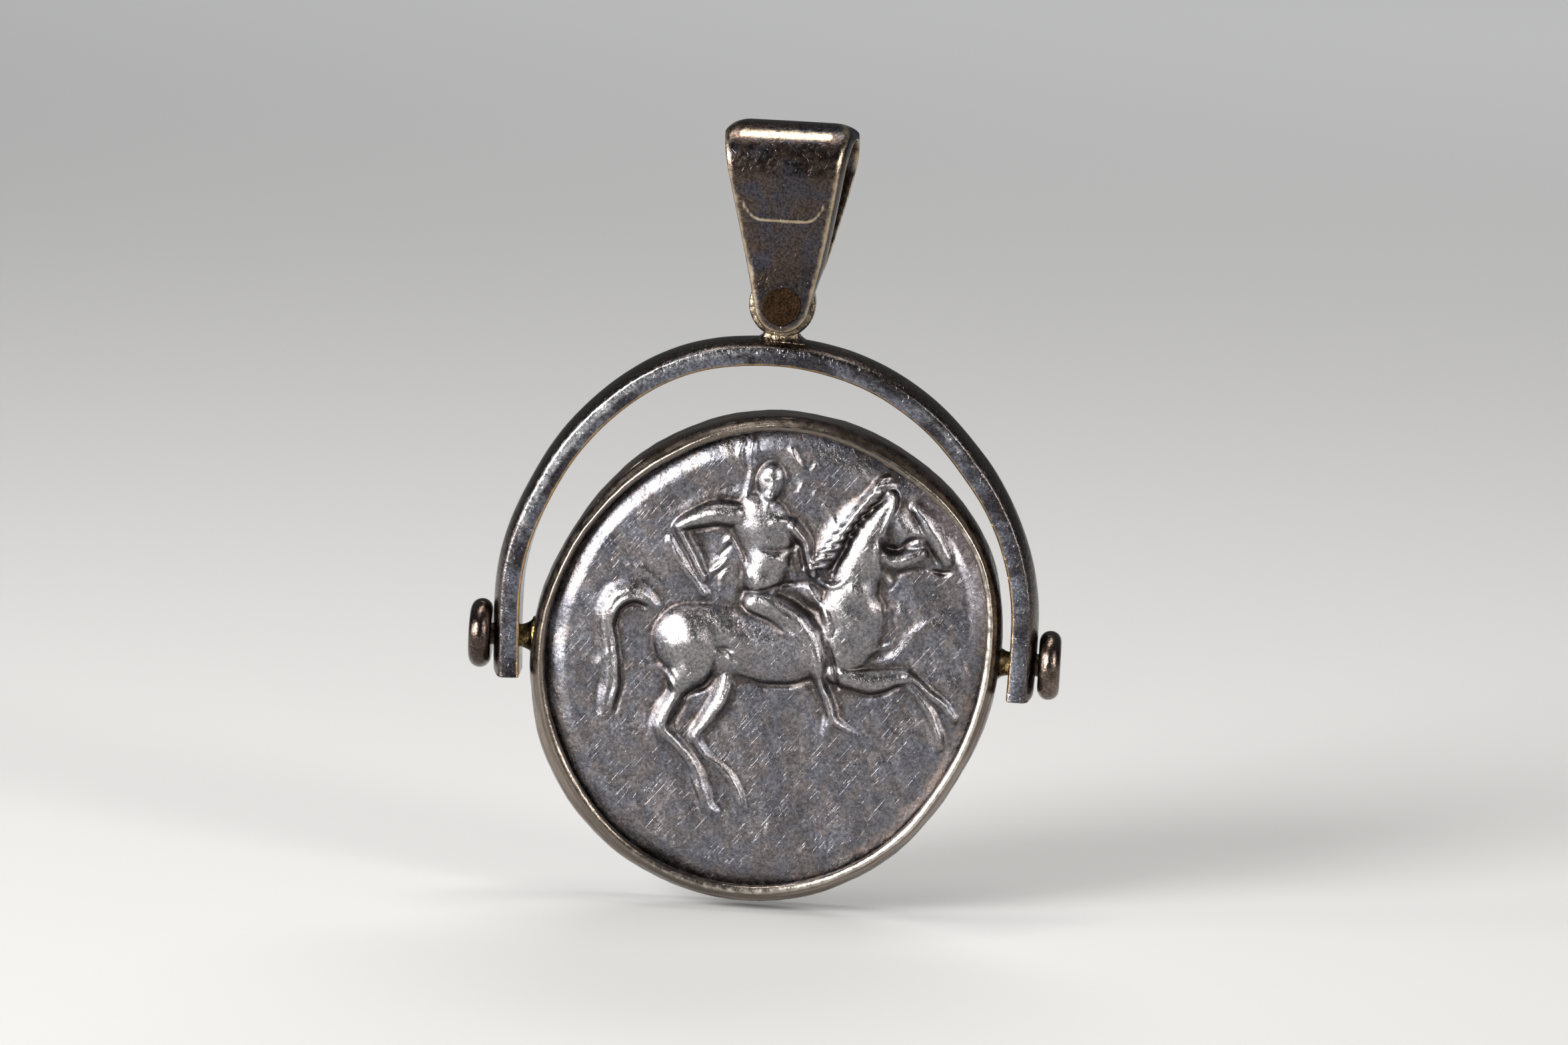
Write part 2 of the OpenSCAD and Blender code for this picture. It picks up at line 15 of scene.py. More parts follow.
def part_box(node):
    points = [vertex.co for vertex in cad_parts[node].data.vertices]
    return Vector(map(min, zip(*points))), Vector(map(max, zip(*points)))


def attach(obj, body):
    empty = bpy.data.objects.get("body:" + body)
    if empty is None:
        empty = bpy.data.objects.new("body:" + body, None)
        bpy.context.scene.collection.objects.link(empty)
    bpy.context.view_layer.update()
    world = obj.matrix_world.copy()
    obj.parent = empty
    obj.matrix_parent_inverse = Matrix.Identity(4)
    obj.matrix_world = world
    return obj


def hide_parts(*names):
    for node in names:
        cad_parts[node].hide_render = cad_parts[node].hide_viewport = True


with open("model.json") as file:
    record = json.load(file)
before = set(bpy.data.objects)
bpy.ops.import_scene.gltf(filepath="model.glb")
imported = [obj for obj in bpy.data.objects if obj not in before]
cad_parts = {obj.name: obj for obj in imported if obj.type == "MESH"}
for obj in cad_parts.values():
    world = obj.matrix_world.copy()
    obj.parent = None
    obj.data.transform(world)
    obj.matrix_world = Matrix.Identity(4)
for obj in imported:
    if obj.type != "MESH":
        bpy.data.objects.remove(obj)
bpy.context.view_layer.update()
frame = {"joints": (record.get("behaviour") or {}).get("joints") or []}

bl_info = {
    "name": "Coin pendant",
    "version": (1, 0, 0),
    "blender": (4, 5, 0),
    "location": "View3D > Sidebar > Pendant",
    "description": "Builds a swivel coin pendant round its packed frame",
    "category": "Object",
}

MM = 0.001


def corners(node):
    """Lowest and highest corner of a node of the frame, in millimetres."""
    low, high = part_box(node)
    return np.array(low) / MM, np.array(high) / MM


def joint_height(name):
    """Height of a joint's place in the frame, in millimetres."""
    return next(j["pos_m"][2] for j in frame["joints"] if j["name"] == name) / MM


PIN_Z = joint_height("coin_swivel")
RIVET_Z = joint_height("stirrup_swing")
BAIL_LOW, BAIL_HIGH = corners("bail")
STIRRUP_LOW, STIRRUP_HIGH = corners("stirrup")
RIVET_HIGH = corners("bail_rivet")[1]
HEAD_LOW, HEAD_HIGH = corners("rivet_head_right")
BAND_LOW, BAND_HIGH = corners("bezel")
COIN_HIGH = corners("coin")[1]

# Round of the holder, counter-clockwise from the right seen from the front:
# angle in degrees, radius of the coin's visible edge, radius of the band at its middle
ROUND = np.array([
    (0, 10.38, 11.25), (30, 11.19, 12.00), (60, 11.07, 12.03), (90, 11.08, 11.92),
    (120, 10.60, 11.55), (150, 10.44, 11.12), (180, 10.48, 11.30), (210, 10.58, 11.70),
    (240, 10.92, 11.90), (270, 10.86, 11.88), (300, 10.57, 11.49), (330, 10.16, 11.00)])
EDGE, BAND = 1, 2
# Middle of that round, how far the coin reaches under the lips, and the relief's shift to the left
HOLDER = np.array([0.05, PIN_Z - 0.38])
COIN_TUCK = 0.18
RELIEF_LEFT = 0.20
# Height at which the worn relief levels off, how far its outlines wander, how far below the smoothed
# relief a hollow is full, and how many times the mean of the neighbours is taken for that smoothing
WORN, WANDER, HOLLOW_DEPTH, HOLLOW_PASSES = 1.2, 0.035, 0.12, 60
# Share of the radius where the relief ends and the width in which it fades, direction of the edge's steepest
# bevel, and direction and half width of the painted highlight on the upper right bevel (radians)
RELIEF_END, RELIEF_FADE = 0.985, 0.05
STEEP_EDGE, HIGHLIGHT_EDGE, HIGHLIGHT_WIDTH = 2.6, 0.55, 0.36

# Section of the band: share of the wall from the coin's edge out, share of the half depth.
# From the middle of the outside over the rolled lip to the groove that holds the coin.
SECTION = np.array([
    (1.00, 0.00), (0.985, 0.20), (0.95, 0.38), (0.89, 0.56), (0.80, 0.70), (0.70, 0.80), (0.60, 0.87),
    (0.51, 0.925), (0.44, 0.97), (0.37, 0.995), (0.29, 1.00), (0.20, 0.985), (0.11, 0.955), (0.05, 0.91),
    (0.025, 0.83), (0.03, 0.74), (0.10, 0.65), (0.30, 0.59), (0.36, 0.28)])

# Relief: chains of joints (to the right, up, half width, height) from the pin axis, in hundredths of a mm.
# Domes and roofs are the bodies, ridges and grooves the lines on them.
DOMES = [
    # trunk and haunch, thigh of the near hind leg, chest
    [(-345, 45, 170, 74), (-250, 45, 175, 62), (-80, 35, 175, 52), (60, 25, 180, 52), (220, 45, 170, 52)],
    [(-335, 35, 160, 84), (-325, -50, 125, 80), (-350, -120, 85, 66), (-380, -190, 50, 48)],
    [(390, 30, 120, 56), (430, 120, 150, 60), (460, 220, 130, 56)],
    # shoulder and neck
    [(390, 100, 110, 58), (420, 220, 140, 62), (445, 360, 115, 64), (480, 500, 95, 64), (525, 630, 76, 60),
     (595, 785, 36, 40)],
    # thigh and calf of the rider
    [(-30, 250, 60, 78), (60, 225, 66, 84), (150, 175, 66, 86), (225, 100, 58, 86), (270, 10, 46, 80),
     (285, -80, 40, 68)],
    # near forearm
    [(360, -70, 55, 50), (460, -105, 55, 52), (560, -110, 60, 54), (640, -90, 42, 44), (710, -85, 30, 36)],
    # torso and upper arm
    [(-5, 350, 95, 62), (15, 430, 105, 62), (10, 520, 120, 58), (-10, 600, 140, 58), (-40, 640, 130, 54)],
    [(-150, 660, 62, 58), (-260, 655, 58, 56), (-350, 620, 46, 46), (-410, 585, 34, 34)],
]
ROOFS = [
    # face and cheek
    [(715, 735, 50, 32), (765, 670, 72, 44), (810, 600, 74, 46), (855, 530, 66, 42), (870, 490, 50, 34)],
    [(625, 680, 95, 42), (665, 630, 110, 45), (725, 600, 90, 40)],
    # mane
    [(240, 420, 50, 12), (300, 510, 85, 18), (360, 610, 90, 22), (430, 705, 75, 22), (515, 790, 55, 20),
     (580, 845, 34, 14)],
    # jaw
    [(570, 500, 60, 40), (620, 475, 65, 46), (690, 495, 62, 46), (745, 520, 50, 40)],
    # lower near hind leg
    [(-385, -210, 50, 44), (-430, -295, 62, 42), (-460, -380, 58, 40), (-420, -430, 50, 34),
     (-350, -490, 46, 30), (-290, -560, 48, 28), (-245, -660, 50, 27), (-215, -750, 46, 22),
     (-180, -780, 40, 14)],
    [(-405, -250, 30, 46), (-425, -320, 32, 46), (-440, -390, 32, 38), (-385, -445, 28, 26),
     (-320, -510, 26, 22)],
    # far hind leg
    [(-155, -120, 50, 34), (-175, -220, 58, 40), (-225, -320, 55, 38), (-285, -420, 42, 30),
     (-250, -490, 36, 20), (-180, -550, 36, 18), (-105, -620, 44, 20), (-70, -710, 44, 20),
     (-50, -770, 36, 12)],
    [(-135, -160, 28, 38), (-160, -240, 32, 46), (-205, -310, 30, 42), (-260, -390, 26, 28)],
    # forelegs beyond the knee
    [(700, -75, 36, 34), (760, -100, 40, 32), (830, -165, 42, 28), (900, -220, 36, 22),
     (940, -270, 36, 16)],
    [(720, -120, 30, 18), (790, -195, 38, 26), (845, -280, 40, 28), (875, -360, 40, 26),
     (885, -410, 32, 16)],
    # tail: a broad flank and the steep crest on its right
    [(-510, 200, 35, 16), (-570, 250, 55, 28), (-640, 260, 75, 38), (-705, 210, 80, 40),
     (-735, 130, 62, 36), (-735, 40, 50, 30), (-720, -50, 55, 30), (-710, -140, 50, 30),
     (-720, -240, 45, 26), (-730, -340, 35, 14)],
    [(-540, 210, 25, 18), (-600, 235, 35, 40), (-660, 215, 38, 48), (-705, 160, 32, 46), (-712, 80, 28, 40),
     (-695, -10, 26, 36), (-680, -100, 28, 38), (-675, -170, 28, 40), (-690, -260, 28, 34),
     (-705, -330, 24, 18)],
    # calf, foot and heel of the rider
    [(285, -80, 46, 62), (310, -160, 42, 48), (350, -250, 40, 38), (370, -310, 38, 30), (430, -345, 30, 18),
     (500, -380, 26, 10)],
    [(355, -280, 30, 26), (340, -340, 30, 22), (335, -395, 22, 10)],
    # forearm with the hand on the hip, and its drapery
    [(-405, 565, 34, 34), (-360, 485, 34, 34), (-315, 400, 32, 38), (-280, 340, 30, 34)],
    [(-455, 520, 30, 14), (-400, 430, 40, 22), (-340, 350, 40, 26), (-280, 270, 36, 26)],
    # arm to the reins
    [(130, 610, 55, 50), (190, 550, 45, 46), (210, 470, 40, 44), (240, 395, 32, 46)],
    # rider's neck
    [(0, 680, 55, 42), (10, 750, 42, 36)],
]
RIDGES = [
    # hem of the tunic along the thigh, and the second fold
    [(-95, 250, 7, 10), (-20, 202, 8, 16), (50, 172, 8, 18), (120, 128, 9, 20), (180, 80, 9, 22),
     (210, 30, 9, 20), (225, -20, 9, 18), (250, -85, 9, 14)],
    [(70, 120, 10, 5), (140, 95, 12, 9), (178, 55, 13, 10), (195, 5, 13, 10), (210, -45, 12, 10),
     (230, -100, 12, 8)],
    # thin ridges of the forelegs
    [(390, -68, 10, 12), (490, -62, 9, 10), (580, -50, 8, 9), (680, -50, 9, 12), (740, -75, 9, 14),
     (810, -135, 10, 14), (910, -205, 10, 8)],
    # rein and collar
    [(195, 405, 12, 10), (255, 375, 13, 16), (315, 342, 14, 16), (360, 350, 12, 12), (400, 390, 10, 6)],
    # breast ridge
    [(220, 325, 14, 10), (270, 270, 20, 20), (310, 200, 20, 22), (330, 120, 12, 14)],
    # hand on the hip
    [(-275, 360, 9, 14), (-220, 395, 10, 18), (-178, 435, 9, 14)],
    [(-180, 385, 8, 14), (-200, 350, 9, 14), (-195, 310, 7, 8)],
    # edge of the torso
    [(-195, 515, 9, 10), (-168, 542, 11, 16), (-130, 485, 12, 18), (-95, 420, 13, 16), (-60, 360, 13, 12)],
    # bumps and folds of the chest and sleeve
    [(35, 630, 15, 6), (75, 645, 18, 12), (130, 630, 20, 14), (190, 575, 18, 12)],
    [(50, 465, 13, 8), (100, 440, 16, 12), (135, 390, 16, 12), (150, 355, 12, 8)],
    [(150, 520, 8, 8), (160, 460, 9, 10), (175, 410, 8, 6)],
    [(195, 510, 8, 8), (210, 450, 8, 8)],
    # ear and forelock
    [(550, 595, 10, 10), (580, 670, 14, 18), (605, 750, 12, 20), (605, 810, 10, 12)],
    # throat strap and its end
    [(535, 550, 13, 16), (545, 470, 18, 20), (570, 415, 20, 18), (595, 375, 18, 14)],
    [(615, 330, 7, 8), (642, 370, 7, 8)],
    # mottled wrinkles of the breast
    [(428, 350, 8, 10), (442, 300, 8, 8)],
    [(485, 345, 6, 6), (475, 320, 6, 6)],
    [(565, 245, 10, 12), (585, 185, 10, 12)],
    [(595, 240, 9, 10), (620, 140, 8, 6)],
    [(655, 280, 10, 5), (665, 230, 16, 8)],
    # worn marks at the top, and arc over the shoulder
    [(-85, 1015, 16, 12), (-88, 940, 14, 12), (-78, 870, 13, 12), (-95, 800, 13, 12), (-105, 745, 12, 8)],
    [(-135, 1010, 14, 10), (-145, 940, 12, 8), (-120, 880, 10, 6)],
    [(105, 985, 13, 10), (125, 940, 17, 14), (150, 905, 10, 8)],
    [(210, 885, 7, 8), (228, 920, 7, 8)],
    [(145, 775, 10, 8), (165, 815, 10, 8)],
    [(220, 765, 9, 6), (235, 795, 9, 6)],
    [(270, 730, 7, 6), (310, 680, 8, 8), (325, 640, 7, 6)],
    # soft swells right of the breast
    [(490, -35, 20, 6), (600, -10, 25, 10), (690, 50, 28, 8), (730, 130, 30, 8), (790, 175, 30, 8),
     (870, 155, 25, 6), (940, 70, 20, 6), (980, -30, 15, 8), (985, -80, 10, 4)],
    [(520, 30, 8, 8), (580, 55, 8, 10), (640, 80, 7, 6)],
    # back fold of the thigh, two strips
    [(-465, -85, 13, 12), (-420, -150, 13, 16), (-375, -195, 11, 12)],
    [(-410, -105, 9, 10), (-375, -155, 9, 12), (-350, -180, 7, 8)],
    # flank
    [(-145, -30, 16, 10), (-115, -65, 17, 14), (-105, -85, 12, 8)],
    [(-210, -120, 6, 6), (-215, -90, 6, 6)],
    # edges of the lower legs
    [(-295, -620, 9, 6), (-255, -700, 10, 9), (-235, -780, 9, 7)],
    [(-105, -610, 10, 5), (-60, -690, 11, 8), (-40, -760, 10, 6)],
    # field marks
    [(-770, -100, 20, 4), (-715, -35, 16, 7)],
    [(85, -830, 10, 5), (85, -960, 10, 4)],
    [(-640, 390, 15, 5), (-560, 360, 20, 6), (-480, 300, 20, 5)],
]
GROOVES = [
    # between mane and neck
    [(325, 420, 13, -22), (365, 510, 15, -26), (405, 600, 16, -28), (450, 675, 17, -26),
     (505, 735, 14, -20), (585, 790, 9, -12)],
    # under the cheek, mouth, jaw line
    [(550, 585, 13, -20), (585, 538, 17, -34), (635, 535, 17, -34), (665, 562, 16, -28),
     (705, 585, 16, -28), (740, 595, 12, -16)],
    [(810, 442, 12, -22), (850, 432, 14, -30), (885, 438, 10, -14)],
    [(635, 415, 7, -12), (695, 440, 7, -14), (775, 452, 7, -10)],
    [(695, 710, 16, -5), (730, 630, 20, -9), (770, 550, 20, -10), (820, 495, 15, -8)],
    # crack beside the calf
    [(325, 75, 5, -14), (340, 15, 6, -30), (360, -50, 7, -34), (372, -100, 7, -34), (385, -150, 6, -20)],
    # below belly, forearm, upper arm, and lower right of the thigh
    [(-110, -115, 12, -12), (-30, -138, 14, -18), (60, -155, 14, -20), (150, -145, 14, -18),
     (235, -120, 12, -12)],
    [(430, -145, 10, -8), (520, -172, 13, -16), (595, -165, 13, -16), (660, -125, 12, -12)],
    [(-395, 568, 9, -16), (-320, 585, 12, -24), (-250, 600, 10, -20), (-210, 610, 7, -10)],
    [(-210, 12, 10, -16), (-160, 15, 10, -18), (-130, 5, 8, -8)],
    [(-210, -30, 10, -10), (-215, -110, 12, -16), (-250, -175, 15, -24), (-310, -205, 14, -20),
     (-350, -240, 10, -12)],
    # beside tail and legs
    [(-560, 190, 12, -8), (-620, 195, 13, -14), (-675, 160, 12, -12), (-685, 90, 10, -6)],
    [(-655, -100, 8, -6), (-650, -180, 9, -12), (-670, -280, 9, -12), (-680, -330, 8, -6)],
    [(-355, -270, 12, -8), (-385, -350, 10, -8), (-385, -400, 10, -6)],
    # thigh front edge and belt
    [(-110, 290, 8, -8), (0, 305, 11, -22), (60, 325, 11, -24), (135, 342, 10, -18), (210, 350, 8, -12),
     (270, 330, 7, -12), (300, 305, 6, -10)],
    [(230, 400, 6, -12), (290, 372, 7, -14), (340, 370, 7, -12), (390, 390, 5, -6)],
    # recess before the thigh
    [(160, 275, 35, -14), (220, 220, 35, -18), (275, 160, 22, -14)],
    # under the chest, sleeve folds
    [(0, 505, 16, -12), (60, 500, 18, -18), (120, 515, 14, -12), (160, 545, 10, -10)],
    [(170, 530, 7, -14), (182, 475, 7, -14), (198, 420, 6, -10)],
    [(220, 495, 6, -8), (225, 440, 6, -6)],
    [(-215, 460, 7, -10), (-190, 490, 8, -14), (-168, 520, 7, -10)],
    [(-270, 368, 5, -8), (-220, 380, 6, -10), (-180, 400, 5, -6)],
    # arc over the shoulder
    [(-460, 690, 50, -5), (-340, 760, 50, -9), (-220, 795, 45, -9), (-120, 810, 35, -5)],
    [(-220, 730, 8, -8), (-150, 725, 9, -10), (-80, 700, 8, -8)],
    # inside the bent arm
    [(-300, 530, 60, -10), (-260, 460, 50, -10)],
    # around the head
    [(-60, 860, 30, -6), (40, 930, 50, -8), (130, 850, 30, -6)],
]

# Head of the rider: middle to the right and up from the pin axis, half width, half height, turn to the
# right as a share of the half width, tilt in degrees, height of its dome
HEAD = (0.12, 8.3, 0.66, 0.95, 0.22, -6, 0.40)

# Its features: to the right as a share of the half width, up as a share of the half height, half width
# and half height as shares, height in mm. Eyes lie half way up, the nose ends half way from there to the
# chin, the mouth a third of the way from the nose to the chin.
FACE = [
    (0.00, -0.22, 0.17, 0.30, 0.09), (0.00, -0.40, 0.26, 0.12, 0.06),
    (-0.42, 0.02, 0.24, 0.13, -0.07), (0.42, 0.02, 0.24, 0.13, -0.07),
    (-0.42, 0.17, 0.32, 0.08, 0.05), (0.42, 0.17, 0.32, 0.08, 0.05),
    (0.00, -0.62, 0.30, 0.07, -0.05), (0.00, -0.72, 0.24, 0.08, 0.04), (0.00, -0.88, 0.26, 0.12, 0.04),
    (0.00, 0.42, 0.80, 0.07, -0.04)]

# Middle and half width of a lip as shares of the wall, share of the half depth from which a place belongs to
# it, and direction in degrees in which the lips carry a painted highlight on top of their rubbed share
LIP_MIDDLE, LIP_WIDTH, LIP_DEPTH, LIP_HIGHLIGHT = 0.28, 0.24, 0.8, -35
# Outline of the flush rivet's rim: depth under its end (mm), and radius as a share
RIVET_RIM = [(0.012, 0.97), (0.03, 1.0), (0.2, 1.0)]

# Places where the bent strip strays from a true half round: angle and half width in degrees, and height
ARCH_BULGES = [(-8, 16, 0.12), (40, 22, -0.24), (112, 18, 0.22), (155, 10, -0.08), (186, 18, 0.15)]

# Stretches of the strip's front face with a painted highlight streak: angle and half width in degrees, and
# share
PAINTED_STREAKS = [(141, 26, 1.0), (48, 10, 0.6), (97, 16, 0.45)]

# Bail: thickness of its wall over the chain seat, radius of its round end, angle below level at which its
# sides meet that end, and share of the half width from which a place belongs to a side
BAIL_WALL, END_RADIUS = BAIL_HIGH[2], RIVET_Z - BAIL_LOW[2]
END_TANGENT, SIDE_SHARE = math.radians(17.0), 0.99
# Where the pins leave the band, and how far their solder runs
PIN_ROOT, FLARE = 11.15, 0.75
# Distance from the middle (mm) beyond which a pin is dark, and width in which it turns dark
DARK_PIN, DARK_WIDTH = 12.3, 0.4
# Rounding at the arms' ends, and share of the half depth from which a place belongs to a flat face
END_ROUND, FACE_SHARE = 0.12, 0.9
# Radius of the lug's edges, how deep the solder foot starts in the strip, and its height
LUG_EDGE, FOOT_DEEP, FOOT_HEIGHT = 0.16, 0.16, 1.1
# Power of the foot's rounded square: 1 is an oval, 0 a sharp square
SQUARE = 0.45
# Height over the rivet where the bail's crown begins and in which it grows, and where its skew begins
CROWN_START, CROWN_GROWTH, SKEW_START = 1.1, 1.5, 1.2

# Lamps: name, direction from the pendant, distance, width, height (mm), power (W), spread, colour
LAMPS = [
    ("key_left", (-0.63, -0.71, 0.32), 420, 180, 240, 0.95, 80, (1.0, 0.99, 0.97)),
    ("side_left", (-0.95, -0.26, 0.16), 420, 120, 220, 0.20, 80, (1.0, 0.98, 0.95)),
    ("key_right", (0.74, -0.58, 0.34), 420, 110, 220, 0.22, 80, (1.0, 0.97, 0.93)),
    ("top", (-0.03, 0.03, 1.0), 420, 300, 90, 0.26, 90, (1.0, 0.97, 0.92)),
    ("behind", (0.1, 0.80, 0.60), 900, 700, 300, 6.0, 180, (1.0, 1.0, 1.0)),
]
# Colour and strength of the light all round, place the camera looks at (mm), and picture's width in pixels
WORLD_COLOUR, WORLD_LIGHT = (0.95, 0.97, 1.0, 1.0), 0.11
CAMERA_AIM = (0.598, 0.0, -18.49)
PHOTO_WIDTH = 2353

# Radii of the floor's rings and its distance under the band (mm), and the camera's sensor (mm)
FLOOR_RINGS = (40.0, 400.0, 1800.0)
FLOOR_GAP = 0.3
SENSOR = 36.0

# Numbers of points along and round each surface
COIN_CELLS = 288
BACK_CELLS = 72
BAND_STEPS = 480
SECTION_STEPS = 5
ARCH_STEPS, ARM_STEPS = 181, 26
LEG_STEPS, KNEE_STEPS, SLANT_STEPS, TOP_STEPS = 40, 14, 110, 44
BEAD_STEPS, PIN_STEPS, FOOT_STEPS = 96, 48, 72
FLOOR_STEPS = 96
# Plane waves in each ripple
WAVES = 9


def rows_of(*columns):
    """Columns side by side, as rows of points. A plain number fills its whole column."""
    return np.stack(np.broadcast_arrays(*columns), -1)


def clamp(value):
    """Value kept between 0 and 1."""
    return np.clip(value, 0, 1)


def swell(distance):
    """Bell curve: e to the power of minus the square of the distance."""
    return np.exp(-distance ** 2)


def full_turn(steps):
    """Angles once round, in radians."""
    return np.linspace(0, 2 * np.pi, steps, endpoint=False)


def arc(centre, radius, start, stop, steps):
    """Points of a circle's arc, with the angles in degrees."""
    turn = np.radians(np.linspace(start, stop, steps))
    return np.array(centre) + radius * rows_of(np.cos(turn), np.sin(turn))


def cubic(a, b, c, d, t):
    """Cubic from b to c whose slope at each of them is half the way between its two neighbours."""
    return b + t * ((c - a) / 2 + t * (a - 2.5 * b + 2 * c - d / 2 + t * (1.5 * (b - c) + (d - a) / 2)))


def spline(rows, steps, closed=False):
    """Smooth curve of cubics through rows, with steps points for each stretch."""
    rows = np.asarray(rows, float)
    if closed:
        ends = np.vstack([rows[-1:], rows, rows[:2]])
    else:
        ends = np.vstack([2 * rows[0] - rows[1], rows, 2 * rows[-1] - rows[-2]])
    t = (np.arange(steps) / steps)[None, :, None]
    curve = cubic(ends[:-3, None], ends[1:-2, None], ends[2:-1, None], ends[3:, None], t)
    curve = curve.reshape(-1, rows.shape[1])
    return curve if closed else np.vstack([curve, rows[-1:]])


def round_radius(angle, column):
    """Radius of the holder's round at each angle (radians), on the closed curve of cubics through ROUND."""
    value = ROUND[:, column]
    place = angle / (2 * np.pi) % 1 * len(value)
    i = np.floor(place).astype(int)
    return cubic(*(value[(i + k) % len(value)] for k in (-1, 0, 1, 2)), place - i)


def ripple(points, size, seed):
    """Unevenness left by the hand: twice the mean of plane sine waves about size mm long, in seeded
    directions and phases, from about -1 to 1."""
    draw = np.random.default_rng(seed)
    way = draw.normal(size=(WAVES, 3))
    way *= (2 * np.pi / size * draw.uniform(0.6, 1.6, WAVES) / np.linalg.norm(way, axis=1))[:, None]
    return np.sin(points @ way.T + draw.uniform(0, 2 * np.pi, WAVES)).mean(-1) * 2


def hammered(points, depth, size, seed):
    """Hammering: hollows up to depth mm, about size mm long, and finer ones of 0.3 times their size."""
    return depth * (ripple(points, size, seed) - 1) + 0.3 * depth * ripple(points, 0.3 * size, seed + 1)


def grid_faces(rows, columns, close_rows=False, close_columns=False, start=0):
    """Quads between neighbours of a grid of points that are numbered row by row."""
    i, j = np.meshgrid(np.arange(rows - (not close_rows)), np.arange(columns - (not close_columns)),
                       indexing="ij")
    i2, j2 = (i + 1) % rows, (j + 1) % columns
    return start + np.stack([i * columns + j, i * columns + j2, i2 * columns + j2, i2 * columns + j],
                            -1).reshape(-1, 4)


def fan(ring, tip, turned=False):
    """Triangles from each edge of a closed ring of point numbers to one tip."""
    pair = (ring, np.roll(ring, -1))
    return rows_of(*(pair[::-1] if turned else pair), tip)


def loft(rings):
    """Closed skin over rings of points [ring, place on it, xyz]: quads between the rings, and at each end
    a fan to the mean of the last ring."""
    count, around = rings.shape[:2]
    points = np.vstack([rings.reshape(-1, 3), rings[0].mean(0), rings[-1].mean(0)])
    first = np.arange(around)
    last = first + (count - 1) * around
    return points, [grid_faces(count, around, close_columns=True),
                    fan(first, count * around, True), fan(last, count * around + 1)]


def loft_values(rings, value):
    """A value for each point of a loft and 0 at its two ends. One row of values serves every ring."""
    return np.append(np.broadcast_to(value, rings.shape[:2]).ravel(), [0.0, 0.0])


def volume(points, faces):
    """Signed volume inside the faces: a sixth of the sum of the triple products of their fans."""
    total = 0.0
    for group in faces:
        p = points[group]
        for k in range(1, group.shape[1] - 1):
            total += np.einsum("ij,ij->", p[:, 0], np.cross(p[:, k], p[:, k + 1]))
    return total / 6


def add_piece(name, points, faces, body, nodes, slot, finish, attributes=None):
    """Puts points (mm) and groups of faces into a smooth mesh turned outward. The piece rides on a CAD
    body, stands for its nodes and takes a finish."""
    if volume(points, faces) < 0:
        faces = [group[:, ::-1] for group in faces]
    mesh = bpy.data.meshes.new(name)
    mesh.vertices.add(len(points))
    mesh.vertices.foreach_set("co", (points * MM).astype(np.float32).ravel())
    index = np.concatenate([group.ravel() for group in faces])
    sizes = np.concatenate([np.full(len(group), group.shape[1]) for group in faces])
    mesh.loops.add(len(index))
    mesh.loops.foreach_set("vertex_index", index.astype(np.int32))
    mesh.polygons.add(len(sizes))
    mesh.polygons.foreach_set("loop_start", (np.cumsum(sizes) - sizes).astype(np.int32))
    mesh.update(calc_edges=True)
    mesh.polygons.foreach_set("use_smooth", np.ones(len(sizes), bool))
    for key, values in (attributes or {}).items():
        layer = mesh.attributes.new(key, "FLOAT", "POINT")
        layer.data.foreach_set("value", values.astype(np.float32))
    if mesh.validate():
        raise RuntimeError(f"{name} has faces that had to be mended")
    piece = bpy.data.objects.new(name, mesh)
    bpy.context.scene.collection.objects.link(piece)
    piece.data.materials.append(finish)
    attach(piece, body)
    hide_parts(*nodes)


# Relief of the coin

def along(x, z, chain, profile, reach=1.0):
    """Height of one chain of joints at each place: for the nearest point of each stretch, its height
    times the profile of the distance over its half width. Of a chain's stretches the greatest counts."""
    best = np.zeros_like(x)
    curve = spline(chain, 4)
    for a, b in zip(curve, curve[1:]):
        w = max(a[2], b[2]) * reach
        near = ((x > min(a[0], b[0]) - w) & (x < max(a[0], b[0]) + w)
                & (z > min(a[1], b[1]) - w) & (z < max(a[1], b[1]) + w))
        px, pz = x[near] - a[0], z[near] - a[1]
        dx, dz = b[0] - a[0], b[1] - a[1]
        t = clamp((px * dx + pz * dz) / (dx * dx + dz * dz))
        share = np.hypot(px - t * dx, pz - t * dz) / (a[2] + t * (b[2] - a[2]))
        height = (a[3] + t * (b[3] - a[3])) * profile(share)
        best[near] = np.where(np.abs(height) > np.abs(best[near]), height, best[near])
    return best


def dome(share):
    """Round back with steep feet: 1 minus the square of the share, to the power of 0.75."""
    return np.clip(1 - share * share, 0, None) ** 0.75


def roof(share):
    """Worn back with soft feet: the square of a quarter cosine wave."""
    return np.cos(clamp(share) * np.pi / 2) ** 2


def bell(share):
    """Thin line with soft sides: e to the power of -1.4 times the square of the share."""
    return np.exp(-1.4 * share * share)


def figure_height(x, z):
    """Relief over the field: the domes and roofs melt into each other as the sixth root of the sum of
    their sixth powers and level off like a hyperbolic tangent. The lines and the head are added."""
    body = sum(along(x, z, np.array(chain) / 100, dome) ** 6 for chain in DOMES)
    body = (body + sum(along(x, z, np.array(chain) / 100, roof) ** 6 for chain in ROOFS)) ** (1 / 6)
    chains = [np.array(chain) / 100 for chain in RIDGES + GROOVES] + tufts()
    lines = sum(along(x, z, chain, bell, 1.8) for chain in chains)
    return WORN * np.tanh(body / WORN) + lines + head_height(x, z)


